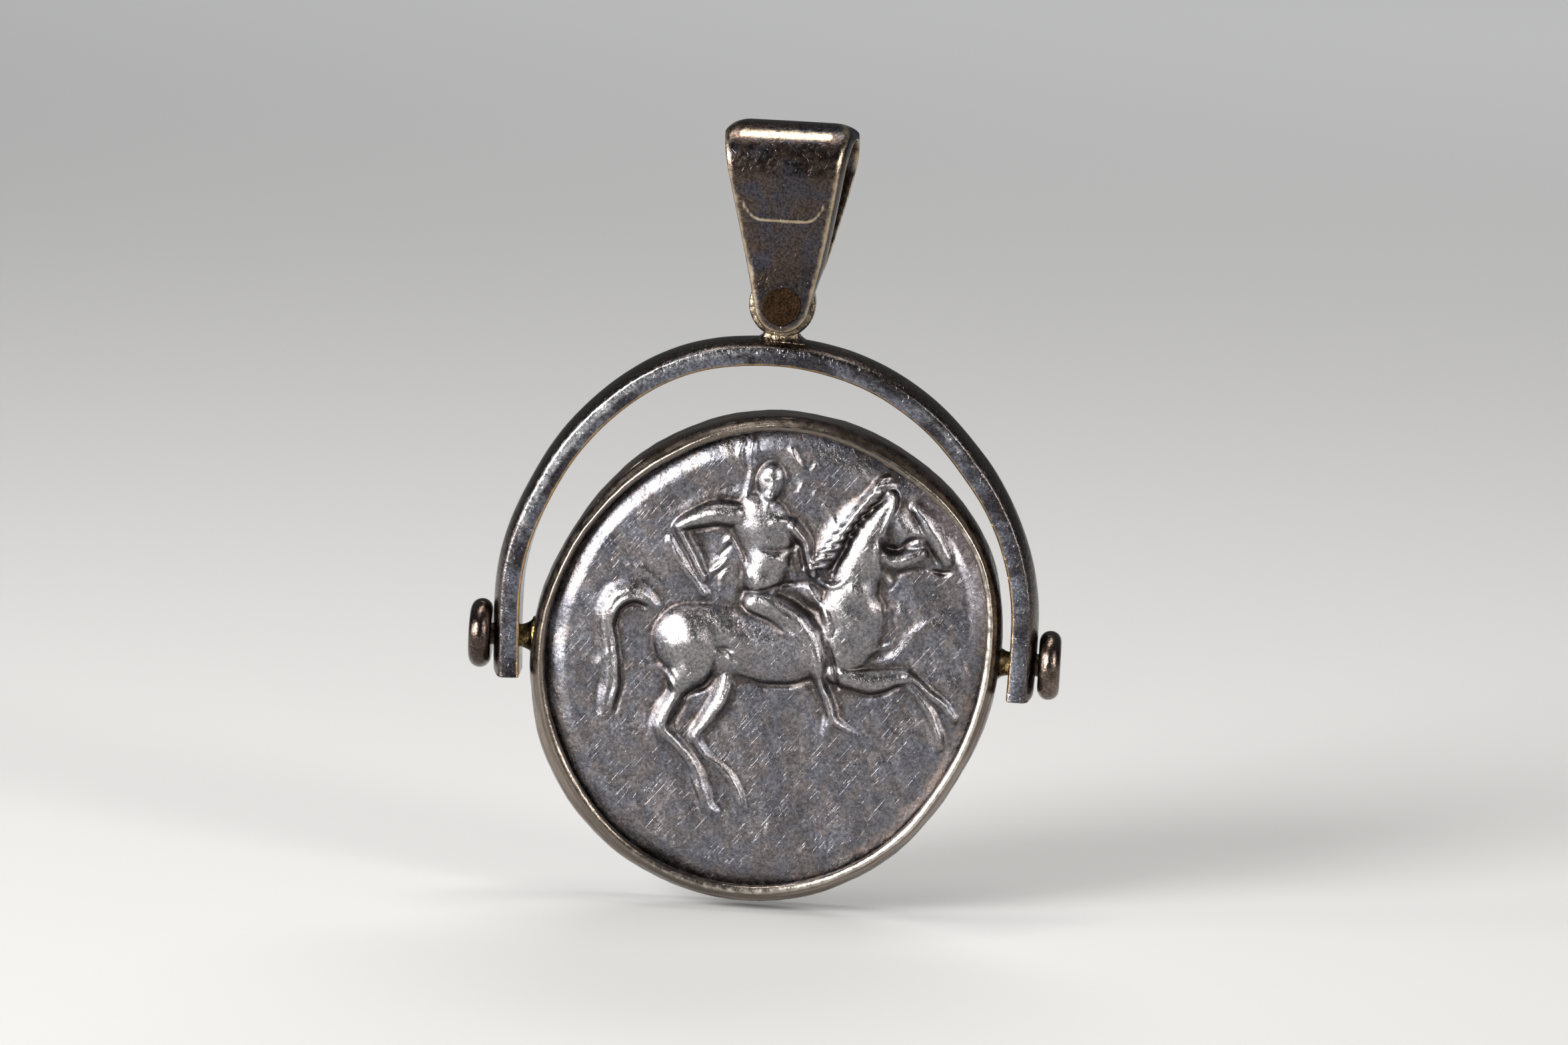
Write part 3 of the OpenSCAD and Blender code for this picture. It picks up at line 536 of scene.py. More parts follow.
def tufts():
    """Locks of the mane: short strokes side by side up the neck, each rising to the right."""
    k = np.arange(11)
    low = rows_of(2.05 + 0.30 * k, 4.15 + 0.42 * k)
    lean = np.radians(16 + 2.0 * k)
    way = rows_of(np.cos(lean), np.sin(lean)) * (0.85 + 0.018 * k * (10 - k))[:, None]
    joints = zip((low, low + way * 0.5 + (0.03, 0.08), low + way), (0.10, 0.13, 0.10), (0.16, 0.34, 0.20))
    strokes = [rows_of(*place.T, width, height) for place, width, height in joints]
    return list(np.stack(strokes, 1))


def head_height(x, z):
    """Rider's head: a smooth oval dome, 1 minus the squared distance as a share of its half width and half
    height, to the power of 0.6, with the face's features as bell-shaped swells and hollows on it."""
    middle_x, middle_z, half_x, half_z, turn, lean, height = HEAD
    cos, sin = math.cos(math.radians(lean)), math.sin(math.radians(lean))
    u = ((x - middle_x) * cos + (z - middle_z) * sin) / half_x
    v = ((z - middle_z) * cos - (x - middle_x) * sin) / half_z
    inside = np.clip(1 - u * u - v * v, 0, None)
    face = sum(h * np.exp(-((u - turn * (1 - v * v) - a) / wa) ** 2 - ((v - b) / wb) ** 2)
               for a, b, wa, wb, h in FACE)
    return height * inside ** 0.6 + face * clamp(inside * 3)


def soften(height, passes=1):
    """Wear: each point moves to the binomial mean of itself and its neighbours in both directions."""
    for _ in range(passes):
        for axis in (0, 1):
            pad = np.concatenate([height.take([0], axis), height, height.take([-1], axis)], axis)
            size = height.shape[axis]
            low, mid, high = (pad.take(range(k, k + size), axis) for k in (0, 1, 2))
            height = (low + 2 * mid + high) / 4
    return height


def coin_grid(cells):
    """Square grid laid over a disc, x = u sqrt(1 - v^2/2) and z = v sqrt(1 - u^2/2) for u and v from -1
    to 1, then scaled to the coin's round. Gives x, z, share of the radius, angle and radius."""
    u, v = np.meshgrid(np.linspace(-1, 1, cells + 1), np.linspace(-1, 1, cells + 1))
    u, v = u * np.sqrt(1 - v * v / 2), v * np.sqrt(1 - u * u / 2)
    angle = np.arctan2(v, u)
    radius = round_radius(angle, EDGE) + COIN_TUCK
    return HOLDER[0] + u * radius, HOLDER[1] + v * radius, np.minimum(np.hypot(u, v), 1), angle, radius


def rim_numbers(cells):
    """Numbers of the grid's points round its rim, counter-clockwise from the lower left corner."""
    side = np.arange(cells)
    row = np.concatenate([0 * side, side, 0 * side + cells, cells - side])
    column = np.concatenate([side, 0 * side + cells, cells - side, 0 * side])
    return row * (cells + 1) + column


def coin_surface(settings):
    """Front: the grid raised by the relief and falling away at the edge along a hyperbola. Back: a coarser
    grid, plain and slightly uneven. Each coarse step of the back's rim meets four fine ones. Also gives
    each point's share of recess, height and painted highlight on the upper right bevel."""
    x, z, share, angle, radius = coin_grid(COIN_CELLS)
    local = rows_of(x, 0, z - PIN_Z)
    relief = settings.relief * figure_height(x + RELIEF_LEFT + WANDER * ripple(local, 1.4, 14),
                                             z - PIN_Z + WANDER * ripple(local, 1.4, 15))
    relief = relief * (1 + 0.07 * ripple(local, 1.8, 16))
    relief = relief + 0.05 * ripple(local, 3.4, 11) + 0.014 * ripple(local, 1.2, 12)
    relief = soften(relief) * clamp((RELIEF_END - share) / RELIEF_FADE)
    inward = (share - 1) * radius + COIN_TUCK + settings.edge_width
    bevel = np.sqrt(np.clip(inward, 0, None) ** 2 + 0.04) - 0.2
    steep = 0.8 + 0.2 * np.cos(angle - STEEP_EDGE) + 0.12 * ripple(local, 5.0, 17)
    fall = settings.edge_fall * bevel * steep
    front = rows_of(x, -(settings.field - fall + relief), z).reshape(-1, 3)
    values = {"recess": np.clip((soften(relief, HOLLOW_PASSES) - relief) / HOLLOW_DEPTH, -1, 1),
              # The height share lightens the figure: rubbed high points and painted highlight for the light
              # the relief catches
              "raised": clamp(relief / 0.7),
              # The "rubbed" share is a painted highlight on the upper right bevel, where the edge would
              # catch the light
              "rubbed": clamp(inward / 0.3) * swell((angle - HIGHLIGHT_EDGE) / HIGHLIGHT_WIDTH)}

    x, z, share = coin_grid(BACK_CELLS)[:3]
    fall = 0.3 * np.clip((share - 0.88) / 0.12, 0, None) ** 2
    uneven = 0.02 * (ripple(rows_of(x, 0, z), 4.0, 13) - 1) * (1 - share ** 6)
    back = rows_of(x, settings.field - fall + uneven, z).reshape(-1, 3)

    steps = rim_numbers(COIN_CELLS).reshape(-1, COIN_CELLS // BACK_CELLS)
    ring = rim_numbers(BACK_CELLS)[:, None] + len(front)
    seam = np.hstack([steps, np.roll(steps, -1, 0)[:, :1], np.roll(ring, -1, 0), ring])
    faces = [grid_faces(COIN_CELLS + 1, COIN_CELLS + 1), seam[:, ::-1],
             grid_faces(BACK_CELLS + 1, BACK_CELLS + 1, start=len(front))[:, ::-1]]
    values = {key: np.append(value.ravel(), np.zeros(len(back))) for key, value in values.items()}
    return np.vstack([front, back]), faces, values


# Bezel, pins and heads

def band_surface(settings):
    """Each point of the smooth section is carried round the coin's own outline: its radius is the coin's
    edge plus its share of the wall there, and its depth a share of the half depth."""
    section = spline(np.vstack([SECTION, SECTION[:0:-1] * (1, -1)]), SECTION_STEPS, closed=True)
    across, deep = section.T
    angle = full_turn(BAND_STEPS)[:, None]
    edge, outer = round_radius(angle, EDGE), round_radius(angle, BAND)
    radius = edge + across * (outer - edge)
    way = rows_of(np.cos(angle), 0, np.sin(angle))
    points = radius[..., None] * way + (HOLDER[0], 0, HOLDER[1])
    points[..., 1] = -deep * settings.half_depth
    inner = clamp((0.35 - across) / 0.3)
    dent = hammered(points, settings.dent, 3.0, 21) * (1 - inner) + 0.012 * ripple(points, 0.7, 23) * inner
    points = points + way * dent[..., None]
    points[..., 1] -= 0.02 * (ripple(points, 2.2, 24) - 1) * np.sign(deep) * (np.abs(deep) > 0.7)
    lip = clamp(1 - np.abs(across - LIP_MIDDLE) / LIP_WIDTH) * (np.abs(deep) > LIP_DEPTH)
    lip = clamp(2.2 * lip) + 0 * angle
    # Painted highlight: the lips' rubbed share grows towards the lower right, where they catch the light
    edge = lip * (0.625 + 0.375 * np.cos(angle - math.radians(LIP_HIGHLIGHT)))
    faces = [grid_faces(*points.shape[:2], True, True)]
    return points.reshape(-1, 3), faces, {"lip": lip.ravel(), "edge": edge.ravel()}


def turned(profile, steps, axis, height, side=1, dent=0.0, seed=0):
    """Solid turned round the x or y axis at a height: profile rows are [distance along it, radius]. Dents
    up to dent mm, drawn from the seed, lie on the radius."""
    angle = full_turn(steps)
    radius = profile[:, 1:]
    points = rows_of(side * profile[:, :1], radius * np.cos(angle), radius * np.sin(angle))
    points[..., 1:] *= (1 + dent * ripple(points, 0.8, seed) / radius)[..., None]
    return points[..., {"x": (0, 1, 2), "y": (1, 0, 2)}[axis]] + (0, 0, height)


def disc_profile(low, high, flat, edge):
    """Profile of a disc: the face at low with the radii of flat, the rounded edge, and the face at high."""
    return np.vstack([rows_of(low, flat), edge, rows_of(high, flat)[::-1]])


def pin_surface(side, settings):
    """Pin with its solder: from the band a hollow flare runs out into the straight pin."""
    x = np.concatenate([[PIN_ROOT - 0.25], PIN_ROOT + np.linspace(0, FLARE, 14),
                        np.linspace(PIN_ROOT + FLARE + 0.05, HEAD_HIGH[0] - 0.5, 8)])
    hollow = 1 - np.sqrt(1 - (1 - clamp((x - PIN_ROOT) / FLARE)) ** 2 * 0.999)
    radius = settings.pin_radius + (settings.flare_radius - settings.pin_radius) * hollow
    return turned(rows_of(x, radius), PIN_STEPS, "x", PIN_Z, side, 0.05, 31 + side)


def head_surface(side):
    """Flat bead: a disc whose edge is a half round and whose two faces are slightly domed."""
    low, high, half = HEAD_LOW[0], HEAD_HIGH[0], (HEAD_HIGH[2] - HEAD_LOW[2]) / 2
    rim = (high - low) / 2
    flat = np.linspace(0.02, half - rim, 10)[:-1]
    dip = 0.03 * (1 - (flat / (half - rim)) ** 2)
    edge = arc(((high + low) / 2, half - rim), rim, 180, 0, 25)
    profile = disc_profile(low + dip, high - dip, flat, edge)
    return turned(profile, BEAD_STEPS, "x", PIN_Z, side, 0.008, 35 + side)


# Stirrup

def strip_section(settings):
    """Rows of [outward, depth, rubbed edge with a painted reflection, outer face with a painted reflection]
    round the strip's middle: a domed outer face, whose arc rises by the dome over the half depth, flat
    sides, rounded inner edges and a flat inner face."""
    half_t = settings.thickness / 2
    half_d = (STIRRUP_HIGH[1] - STIRRUP_LOW[1]) / 2
    r, soft = settings.edge_radius, settings.outer_edge_radius
    dome_r = (half_d ** 2 + settings.dome ** 2) / (2 * settings.dome)
    shoulder = half_t - settings.dome
    depth = np.linspace(0, half_d - soft, 16)
    corner = arc((shoulder - soft * 0.6, half_d - soft), soft, 60, 90, 4)
    edge = arc((r - half_t, half_d - r), r, 90, 180, 8)
    half = np.vstack([rows_of(half_t - dome_r + np.sqrt(dome_r ** 2 - depth ** 2), depth, 0, 1),
                      rows_of(*corner.T, 0, 0.5),
                      rows_of(np.linspace(shoulder - soft, r - half_t, 8)[1:-1], half_d, 0, 0),
                      # Inner edges: rubbed share, which also paints a reflection of the warm metal below as
                      # a gold line
                      rows_of(*edge.T, np.sin(np.linspace(0.5, 2.6, 8)), 0),
                      rows_of(-half_t, np.linspace(half_d - r, 0, 7)[1:], 0, 0)])
    return np.vstack([half, (half * (1, -1, 1, 1))[-2:0:-1]])


def strip_line(settings):
    """Middle line of the strip, its normals and each place's distance from the nearer end: up the right
    arm, over the half round and down the left arm."""
    lean = settings.lean
    mid = settings.outer_radius - settings.thickness / 2
    tail = settings.rise + settings.tail - mid * math.sin(lean)
    down = np.unique(np.concatenate([np.linspace(tail, 0, ARM_STEPS)[:-1],
                                     tail - np.array([0, 0.02, 0.05, 0.09, 0.14, 0.2]),
                                     tail - settings.chamfer * np.linspace(0.3, 1.2, 5)]))[::-1]
    down = down[down > 0.01]
    cos, sin = math.cos(lean), math.sin(lean)
    arm = rows_of(mid * cos - down * sin, -mid * sin - down * cos)
    arm_n = np.tile([cos, -sin], (len(down), 1))
    stretch = settings.tail_skew * clamp(down / tail)[:, None] * (0, 1)
    turn = np.linspace(-lean, math.pi + lean, ARCH_STEPS)
    bow_n = rows_of(np.cos(turn), np.sin(turn))
    line = np.vstack([arm + stretch, mid * bow_n, (arm - stretch)[::-1] * (-1, 1)])
    normal = np.vstack([arm_n, bow_n, arm_n[::-1] * (-1, 1)])
    from_end = np.concatenate([tail - down, np.full(ARCH_STEPS, tail), (tail - down)[::-1]])
    theta = (np.degrees(np.arctan2(line[:, 1], line[:, 0])) + 90) % 360 - 90
    bulge = sum(height * swell((theta - at) / width) for at, width, height in ARCH_BULGES)
    return line + normal * bulge[:, None], normal, from_end[:, None]


def strip_surface(settings):
    """The section is carried along the middle line. Each place is the line's point plus the section's
    outward part along the line's normal. Both ends are rounded and their outer corners trimmed."""
    line, normal, from_end = strip_line(settings)
    section = strip_section(settings)
    half_t, half_d = settings.thickness / 2, section[:, 1].max()
    shrink = END_ROUND * (1 - np.sqrt(1 - (1 - clamp(from_end / END_ROUND)) ** 2))
    out = section[:, 0] * (1 - shrink / half_t)
    out = np.minimum(out, half_t - np.clip(settings.chamfer - from_end, 0, None))
    depth = section[:, 1] * (1 - shrink / half_d)
    points = rows_of(line[:, :1] + out * normal[:, :1], depth,
                     PIN_Z + settings.rise + line[:, 1:] + out * normal[:, 1:])
    front_or_back = np.sign(depth) * (np.abs(depth) > FACE_SHARE * half_d)
    points[..., 1] -= front_or_back * settings.crown * (out / half_t) ** 2
    points[..., ::2] += hammered(points, settings.dent, 5.0, 41)[..., None] * normal[:, None]
    points[..., 1] += 0.015 * (ripple(points, 2.5, 43) - 1) * np.sign(depth)
    return points


def streak_highlight_share(strip, section, settings):
    """Painted highlight streaks on the front face: bell curves along the round, and one across the face."""
    angle = np.degrees(np.arctan2(strip[..., 2] - PIN_Z - settings.rise, strip[..., 0]))
    along_strip = sum(share * swell((angle - at) / width) for at, width, share in PAINTED_STREAKS)
    front = section[:, 1] < -FACE_SHARE * section[:, 1].max()
    return along_strip * front * swell((section[:, 0] - 0.02) / 0.22)


def lug_surface(settings):
    """Disc between the bail's legs, with softened edges."""
    radius, half, soft = STIRRUP_HIGH[2] - RIVET_Z, settings.lug_half, LUG_EDGE
    edge = np.vstack([arc((soft - half, radius - soft), soft, 180, 90, 6),
                      arc((half - soft, radius - soft), soft, 90, 0, 6)])
    flat = np.linspace(0.05, radius - soft, 5)[:-1]
    return turned(disc_profile(-half, half, flat, edge), BEAD_STEPS, "y", RIVET_Z, 1, 0.006, 44)


def foot_surface(settings):
    """Solder foot between the lug and the strip: rings of a rounded square whose half width runs from the
    waist out to the strip along a hollow curve, uneven like solder that was left as it ran."""
    t = np.linspace(0, 1, 15)[:, None]
    z = PIN_Z + settings.rise + settings.outer_radius - FOOT_DEEP + t * FOOT_HEIGHT
    flare = settings.foot_spread - settings.foot_waist
    half_x = settings.foot_waist + flare * (1 - clamp(t / 0.5)) ** 2.6
    half_y = settings.lug_half - 0.03 + 0.25 * (1 - clamp(t / 0.3)) ** 2
    angle = full_turn(FOOT_STEPS)
    right, back = (np.sign(v) * np.abs(v) ** SQUARE for v in (np.cos(angle), np.sin(angle)))
    points = rows_of(half_x * right, half_y * back, z)
    points[..., 0] += (0.05 * ripple(points, 0.9, 45) * np.sign(right) + 0.03) * (1 - t)
    points[..., 2] -= points[..., 0] ** 2 / (2 * settings.outer_radius) * (1 - t) ** 0.5
    return points


# Bail and rivet

def fold_line(settings):
    """Outer line of the fold in the side view, from the round end's start up the back leg to the top:
    straight leg, rounded knee, slanting stretch, and the top's arc."""
    top_r = (BAIL_HIGH[1] - BAIL_LOW[1]) / 2
    leg_y = RIVET_HIGH[1] - settings.rivet_proud
    knee = np.array([leg_y, RIVET_Z + settings.knee_rise])
    centre = np.array([0.0, BAIL_WALL - top_r])
    reach = knee - centre
    touch = math.degrees(math.atan2(reach[1], reach[0]) + math.acos(top_r / np.linalg.norm(reach)))
    over = arc(centre, top_r, touch, 90, TOP_STEPS)
    slant = over[0] - knee
    swing = math.atan2(slant[0], slant[1])
    r = settings.knee_radius
    before = knee - (0, r * math.tan(swing / 2))
    bend = arc(before + (r, 0), r, 180, 180 - math.degrees(swing), KNEE_STEPS)
    low = np.array([leg_y, RIVET_Z - END_RADIUS * math.sin(END_TANGENT)])
    leg = low + (before - low) * np.linspace(0, 1, LEG_STEPS)[:-1, None]
    slanting = bend[-1] + (over[0] - bend[-1]) * np.linspace(0, 1, SLANT_STEPS)[1:-1, None]
    line = np.vstack([leg, bend, slanting, over])
    step = np.gradient(line, axis=0)
    normal = rows_of(step[:, 1], -step[:, 0]) / np.linalg.norm(step, axis=1)[:, None]
    normal[-1] = (0, 1)
    return line, normal


def bail_section(settings):
    """Bevelled section as rows of [side from -1 to 1, inset from the outline, depth under the face]."""
    outer, inner = settings.bevel, settings.inner_bevel
    turn = np.radians(np.linspace(0, 90, 6))
    side = np.vstack([rows_of(1, outer * (1 - np.sin(turn)), settings.bevel_depth * (1 - np.cos(turn))),
                      rows_of(1, inner * (1 - np.cos(turn)), BAIL_WALL - inner * (1 - np.sin(turn)))])
    across = np.linspace(-1, 1, 33)[1:-1]
    return np.vstack([rows_of(across, outer, 0), side, rows_of(-across, inner, BAIL_WALL),
                      (side * (-1, 1, 1))[::-1]])


def bail_half_width(z, inset, settings):
    """Front outline: two long arcs of the sides, and a round corner at each end of the top."""
    half_top = BAIL_HIGH[0]
    low = np.array([END_RADIUS * math.cos(END_TANGENT), RIVET_Z - END_RADIUS * math.sin(END_TANGENT)])
    high = np.array([half_top, BAIL_WALL - 0.2])
    middle, way = (low + high) / 2, high - low
    across = np.array([-way[1], way[0]]) / np.linalg.norm(way)
    centre = middle + across * math.sqrt(settings.side_radius ** 2 - way @ way / 4)
    sides = centre[0] + np.sqrt(np.maximum((settings.side_radius - inset) ** 2 - (z - centre[1]) ** 2, 0))
    r = settings.corner_radius
    corner = half_top - r + np.sqrt(r ** 2 - np.clip(z - BAIL_WALL + r, 0, r) ** 2) - inset
    return np.minimum(sides, corner)


def crease_share(points, side, settings):
    """Bell curve across a line that sags over the face and turns up steeply at both sides."""
    sag = settings.crease_z + settings.crease_rise * side ** 8
    slope = settings.crease_rise * 8 * side ** 7 / BAIL_HIGH[0]
    return np.exp(-((points[..., 2] - sag) / settings.crease_width) ** 2 / (1 + slope ** 2))


def bail_surface(settings):
    """Folded strip: the section is carried along the fold's line, each point inside the front outline by
    its inset. The round end is drawn by circles about the rivet. The back is the front mirrored."""
    line, normal = fold_line(settings)
    side, inset, depth = bail_section(settings).T
    sweep = np.linspace(math.pi / 2, END_TANGENT, 18)[:-1, None]
    r = END_RADIUS - inset
    end_rows = rows_of(side * r * np.cos(sweep), depth - line[0, 0], RIVET_Z - r * np.sin(sweep))
    ease = clamp(1 - np.arange(len(line)) / 14)[:, None]
    z = line[:, 1:] - normal[:, 1:] * depth + inset * math.sin(END_TANGENT) * ease
    front = np.vstack([end_rows, rows_of(side * bail_half_width(z, inset, settings),
                                         normal[:, :1] * depth - line[:, :1], z)])
    outer_face = clamp(1 - depth / 0.1)
    wave = settings.crown * (1 - side ** 2) + settings.dent * (ripple(front, 3.5, 51) - 1)
    crease = settings.crease * crease_share(front, side, settings)
    clear = clamp((front[..., 2] - RIVET_Z - CROWN_START) / CROWN_GROWTH)
    front[..., 1] -= (wave * clear + crease) * outer_face
    right_wall = (side > SIDE_SHARE) * depth / BAIL_WALL
    front[..., 0] += settings.flank * right_wall * clamp((front[..., 2] - RIVET_Z) / 2)
    both = np.concatenate([front, front[::-1][1:] * (1, -1, 1)])
    start = RIVET_Z + SKEW_START
    high = clamp((both[..., 2] - start) / (BAIL_WALL - start))
    behind = clamp(both[..., 1] / BAIL_HIGH[1])
    both[..., 0] += settings.skew * both[..., 1] * high + settings.belly * behind * np.sin(np.pi * high)
    return both


def bail_painted_light(rings, settings):
    """Share painted bright: highlights on the bevels, which are also rubbed, a reflected line along the
    crease, a highlight band at the top of the front face, and the right wall, lit from the right.
    """
    side, _, depth = bail_section(settings).T
    bevel, at_side = settings.bevel_depth, np.abs(side) > SIDE_SHARE
    edge = clamp(1 - np.abs(depth - bevel * 0.4) / (bevel * 0.6)) * at_side
    front = (rings[..., 1] < 0) & (depth < 0.01) & ~at_side
    # Painted highlight band where the top's curve catches the lamp above
    top = swell((rings[..., 2] - 0.22) / 0.24) * clamp((0.9 - np.abs(side)) / 0.08)
    # Painted reflection line along the crease, and the right wall painted lighter as it catches light from
    # the right
    return (edge + front * (0.95 * crease_share(rings, side, settings) + 0.9 * top)
            + 0.75 * (side > SIDE_SHARE) * (depth > bevel))


def rivet_surface():
    """Rivet with both ends just proud of the legs: slightly domed, rough and ragged round the rim."""
    radius = RIVET_HIGH[2] - RIVET_Z
    flat = np.linspace(0.04, 0.93, 12)
    cap = np.vstack([rows_of(0.004 + 0.006 * flat ** 2, flat), RIVET_RIM])
    cap = cap * (-1, radius) + (RIVET_HIGH[1], 0)
    points = turned(np.vstack([cap * (-1, 1), cap[::-1]]), BEAD_STEPS, "y", RIVET_Z)
    middle = (0, 0, RIVET_Z)
    rim = np.hypot(points[..., 0], points[..., 2] - RIVET_Z) / radius
    ragged = 1 + 0.035 * (ripple(points, 0.35, 62) + ripple(points, 0.9, 63)) * rim ** 4
    ragged = np.minimum(ragged, 1.02)[..., None]
    return (points - middle) * np.where([True, False, True], ragged, 1) + middle


# Finishes

class Finish:
    """A procedural metal under construction. Coordinates are the object's own, in millimetres."""

    def __init__(self, name):
        self.material = bpy.data.materials.new(name)
        self.material.use_nodes = True
        self.tree = self.material.node_tree
        self.shader = self.tree.nodes["Principled BSDF"]
        self.shader.inputs["Metallic"].default_value = 1.0
        place = self.tree.nodes.new("ShaderNodeTexCoord")
        self.place = self.scaled(place.outputs["Object"], (1 / MM, 1 / MM, 1 / MM))

    def put(self, socket, value):
        """Links an input to a socket, or sets it to a number, a vector or a colour."""
        if isinstance(value, bpy.types.NodeSocket):
            self.tree.links.new(value, socket)
        else:
            socket.default_value = (*value, 1.0) if socket.type == "RGBA" else value

    def add(self, kind, inputs=(), **options):
        """A node of one kind with its options and inputs."""
        node = self.tree.nodes.new(kind)
        for key, value in options.items():
            setattr(node, key, value)
        for key, value in dict(inputs).items():
            self.put(node.inputs[key], value)
        return node

    def scaled(self, vector, scale, turn=(0, 0, 0)):
        """Coordinates turned about the axes and then stretched."""
        turned_by = self.add("ShaderNodeMapping", {"Vector": vector, "Rotation": turn}).outputs[0]
        return self.add("ShaderNodeMapping", {"Vector": turned_by, "Scale": scale}).outputs[0]

    def noise(self, per_mm, detail=3.0, rough=0.5, stretch=(1, 1, 1), turn=(0, 0, 0), warp=0.0):
        """Cloudy noise from 0 to 1 with per_mm clouds a millimetre: detail layers, each rough times the
        last, on coordinates that are turned, stretched and warped."""
        vector = self.scaled(self.place, stretch, turn) if stretch != (1, 1, 1) else self.place
        return self.add("ShaderNodeTexNoise", {"Vector": vector, "Scale": per_mm, "Detail": detail,
                                               "Roughness": rough, "Distortion": warp}).outputs["Fac"]

    def between(self, value, low, high, out_low=0.0, out_high=1.0):
        """Carries value from the range low..high to out_low..out_high along a smooth step."""
        return self.add("ShaderNodeMapRange", {"Value": value, "From Min": low, "From Max": high,
                                               "To Min": out_low, "To Max": out_high},
                        interpolation_type="SMOOTHSTEP").outputs["Result"]

    def mix(self, share, a, b, blend="MIX"):
        """Mix of two colours."""
        node = self.add("ShaderNodeMix", {0: share, 6: a, 7: b}, data_type="RGBA", blend_type=blend)
        return node.outputs[2]

    def value(self, name):
        """A number kept on the mesh's points."""
        return self.add("ShaderNodeAttribute", attribute_name=name).outputs["Fac"]

    def total(self, *parts):
        """Sum of (value, weight) parts."""
        value = None
        for part, weight in parts:
            value = self.add("ShaderNodeMath", {0: part, 1: weight, 2: 0.0 if value is None else value},
                             operation="MULTIPLY_ADD").outputs[0]
        return value

    def flecked(self, tone, value, low, high, dark, light):
        """Colour made darker and lighter by specks, from the share dark to the share light."""
        share = self.between(value, low, high, dark, light)
        grey = self.add("ShaderNodeCombineColor", {0: share, 1: share, 2: share}).outputs[0]
        return self.mix(1.0, tone, grey, "MULTIPLY")

    def bump(self, height, depth_mm):
        """Bump whose full height is depth_mm."""
        return self.add("ShaderNodeBump", {"Height": height, "Strength": 1.0,
                                           "Distance": depth_mm * MM}).outputs["Normal"]

    def scratches(self, per_mm, *turns):
        """Fine hairlines in each of the turned directions (degrees), where a stretched noise is high."""
        parts = []
        for number, turn in zip(per_mm, turns):
            lines = self.noise(number, 2.0, 0.5, (1.0, 1.0, 0.045), [math.radians(v) for v in turn])
            parts.append((self.between(lines, 0.62, 0.72), 1.0))
        return self.total(*parts)

    def done(self, tone, roughness, normal=None):
        """Sets the shader's colour, roughness and normal."""
        for key, value in (("Base Color", tone), ("Roughness", roughness), ("Normal", normal)):
            if value is not None:
                self.put(self.shader.inputs[key], value)
        return self.material


def coin_finish(settings):
    """Worn coin silver: cool and warm tones in clouds, brown in the hollows, lighter on the raised figure
    (rubbed high points and painted highlight), a painted highlight on the upper right bevel, with hairlines,
    sharp grain and pits."""
    f = Finish("worn_coin_silver")
    recess = f.value("recess")
    clouds = f.noise(0.8, 4.0, 0.6, warp=0.6)
    patches = f.noise(1.3, 5.0, 0.65)
    grain = f.noise(5.0, 3.0, 0.7)
    sand = f.noise(6.5, 5.0, 0.8)
    tone = f.mix(f.between(clouds, 0.40, 0.60), settings.cool, settings.warm)
    tone = f.mix(f.between(patches, 0.50, 0.70, 0.0, 0.6), tone, settings.violet)
    hollow = f.total((recess, 1.0), (grain, 0.8))
    # Lighter on the raised figure: partly rubbed high points, partly painted highlight
    crest = f.total((f.value("raised"), 1.0), (recess, -0.5), (patches, 0.6))
    tone = f.mix(f.between(crest, 0.55, 1.55, 0.0, 0.85), tone, settings.rubbed)
    tone = f.mix(f.between(hollow, 0.5, 1.3, 0.0, 0.75), tone, settings.brown)
    # Painted highlight: the "rubbed" share turns the upper right bevel to the bright colour
    bright = f.total((f.value("rubbed"), 1.0), (grain, 0.5))
    tone = f.mix(f.between(bright, 0.35, 1.25), tone, settings.bright)
    tone = f.flecked(tone, sand, 0.36, 0.64, 0.6, 1.45)
    lines = f.scratches((12.0, 14.0), (0, 24, 0), (0, -38, 0))
    knocks = f.noise(2.2, 3.0, 0.6)
    height = f.total((sand, 0.20), (lines, -0.05), (knocks, 0.30), (patches, 0.5))
    rough = f.between(f.total((knocks, 1.0), (recess, 0.2)), 0.3, 0.8, 0.17, 0.36)
    return f.done(tone, rough, f.bump(height, settings.grain_depth))


def silver_finish(name, tones, rough, turn=0.0, wear=0.03, outer=None, polish=None):
    """Toned silver in the tones (tint, shade, stain, rubbed): two close tones in clouds, smudges in the
    gloss, fine specks, hairlines along the work, an outer face in a painted reflection, painted highlight
    streaks, and edges rubbed bright where the mesh keeps an edge value, which also carries painted
    highlights and reflections."""
    tint, shade, stain, rubbed = tones
    f = Finish(name)
    clouds = f.noise(0.55, 4.0, 0.6, warp=0.4)
    smudge = f.noise(2.4, 4.0, 0.65)
    grain = f.noise(8.0, 5.0, 0.75)
    tone = f.mix(f.between(clouds, 0.40, 0.60), tint, shade)
    tone = f.mix(f.between(smudge, 0.5, 0.7, 0.0, 0.6), tone, stain)
    # Painted reflection: the outer face gets its own brown tone for what it mirrors
    if outer is not None:
        tone = f.mix(f.value("outer"), tone, outer)
    # Painted highlight streaks along the strip's front face
    if polish is not None:
        share = f.between(f.total((f.value("polish"), 1.0), (smudge, 1.2)), 0.75, 1.45, 0.0, 0.9)
        tone = f.mix(share, tone, polish)
    tone = f.flecked(tone, grain, 0.36, 0.66, 0.5, 1.6)
    # Rubbed wear where smudges are high, plus the painted highlights and reflections that the edge value
    # carries
    wear_and_sheen = f.total((f.value("edge"), 1.0), (smudge, 0.9), (grain, 0.15))
    tone = f.mix(f.between(wear_and_sheen, 0.86, 1.56), tone, rubbed)
    lines = f.scratches((9.0, 8.0), (0, 62 + turn, 0), (20, -12 + turn, 0))
    height = f.total((grain, 0.4), (lines, -0.3), (smudge, 1.1))
    gloss = f.between(smudge, 0.3, 0.75, rough * 0.75, rough * 1.6)
    return f.done(tone, gloss, f.bump(height, wear))


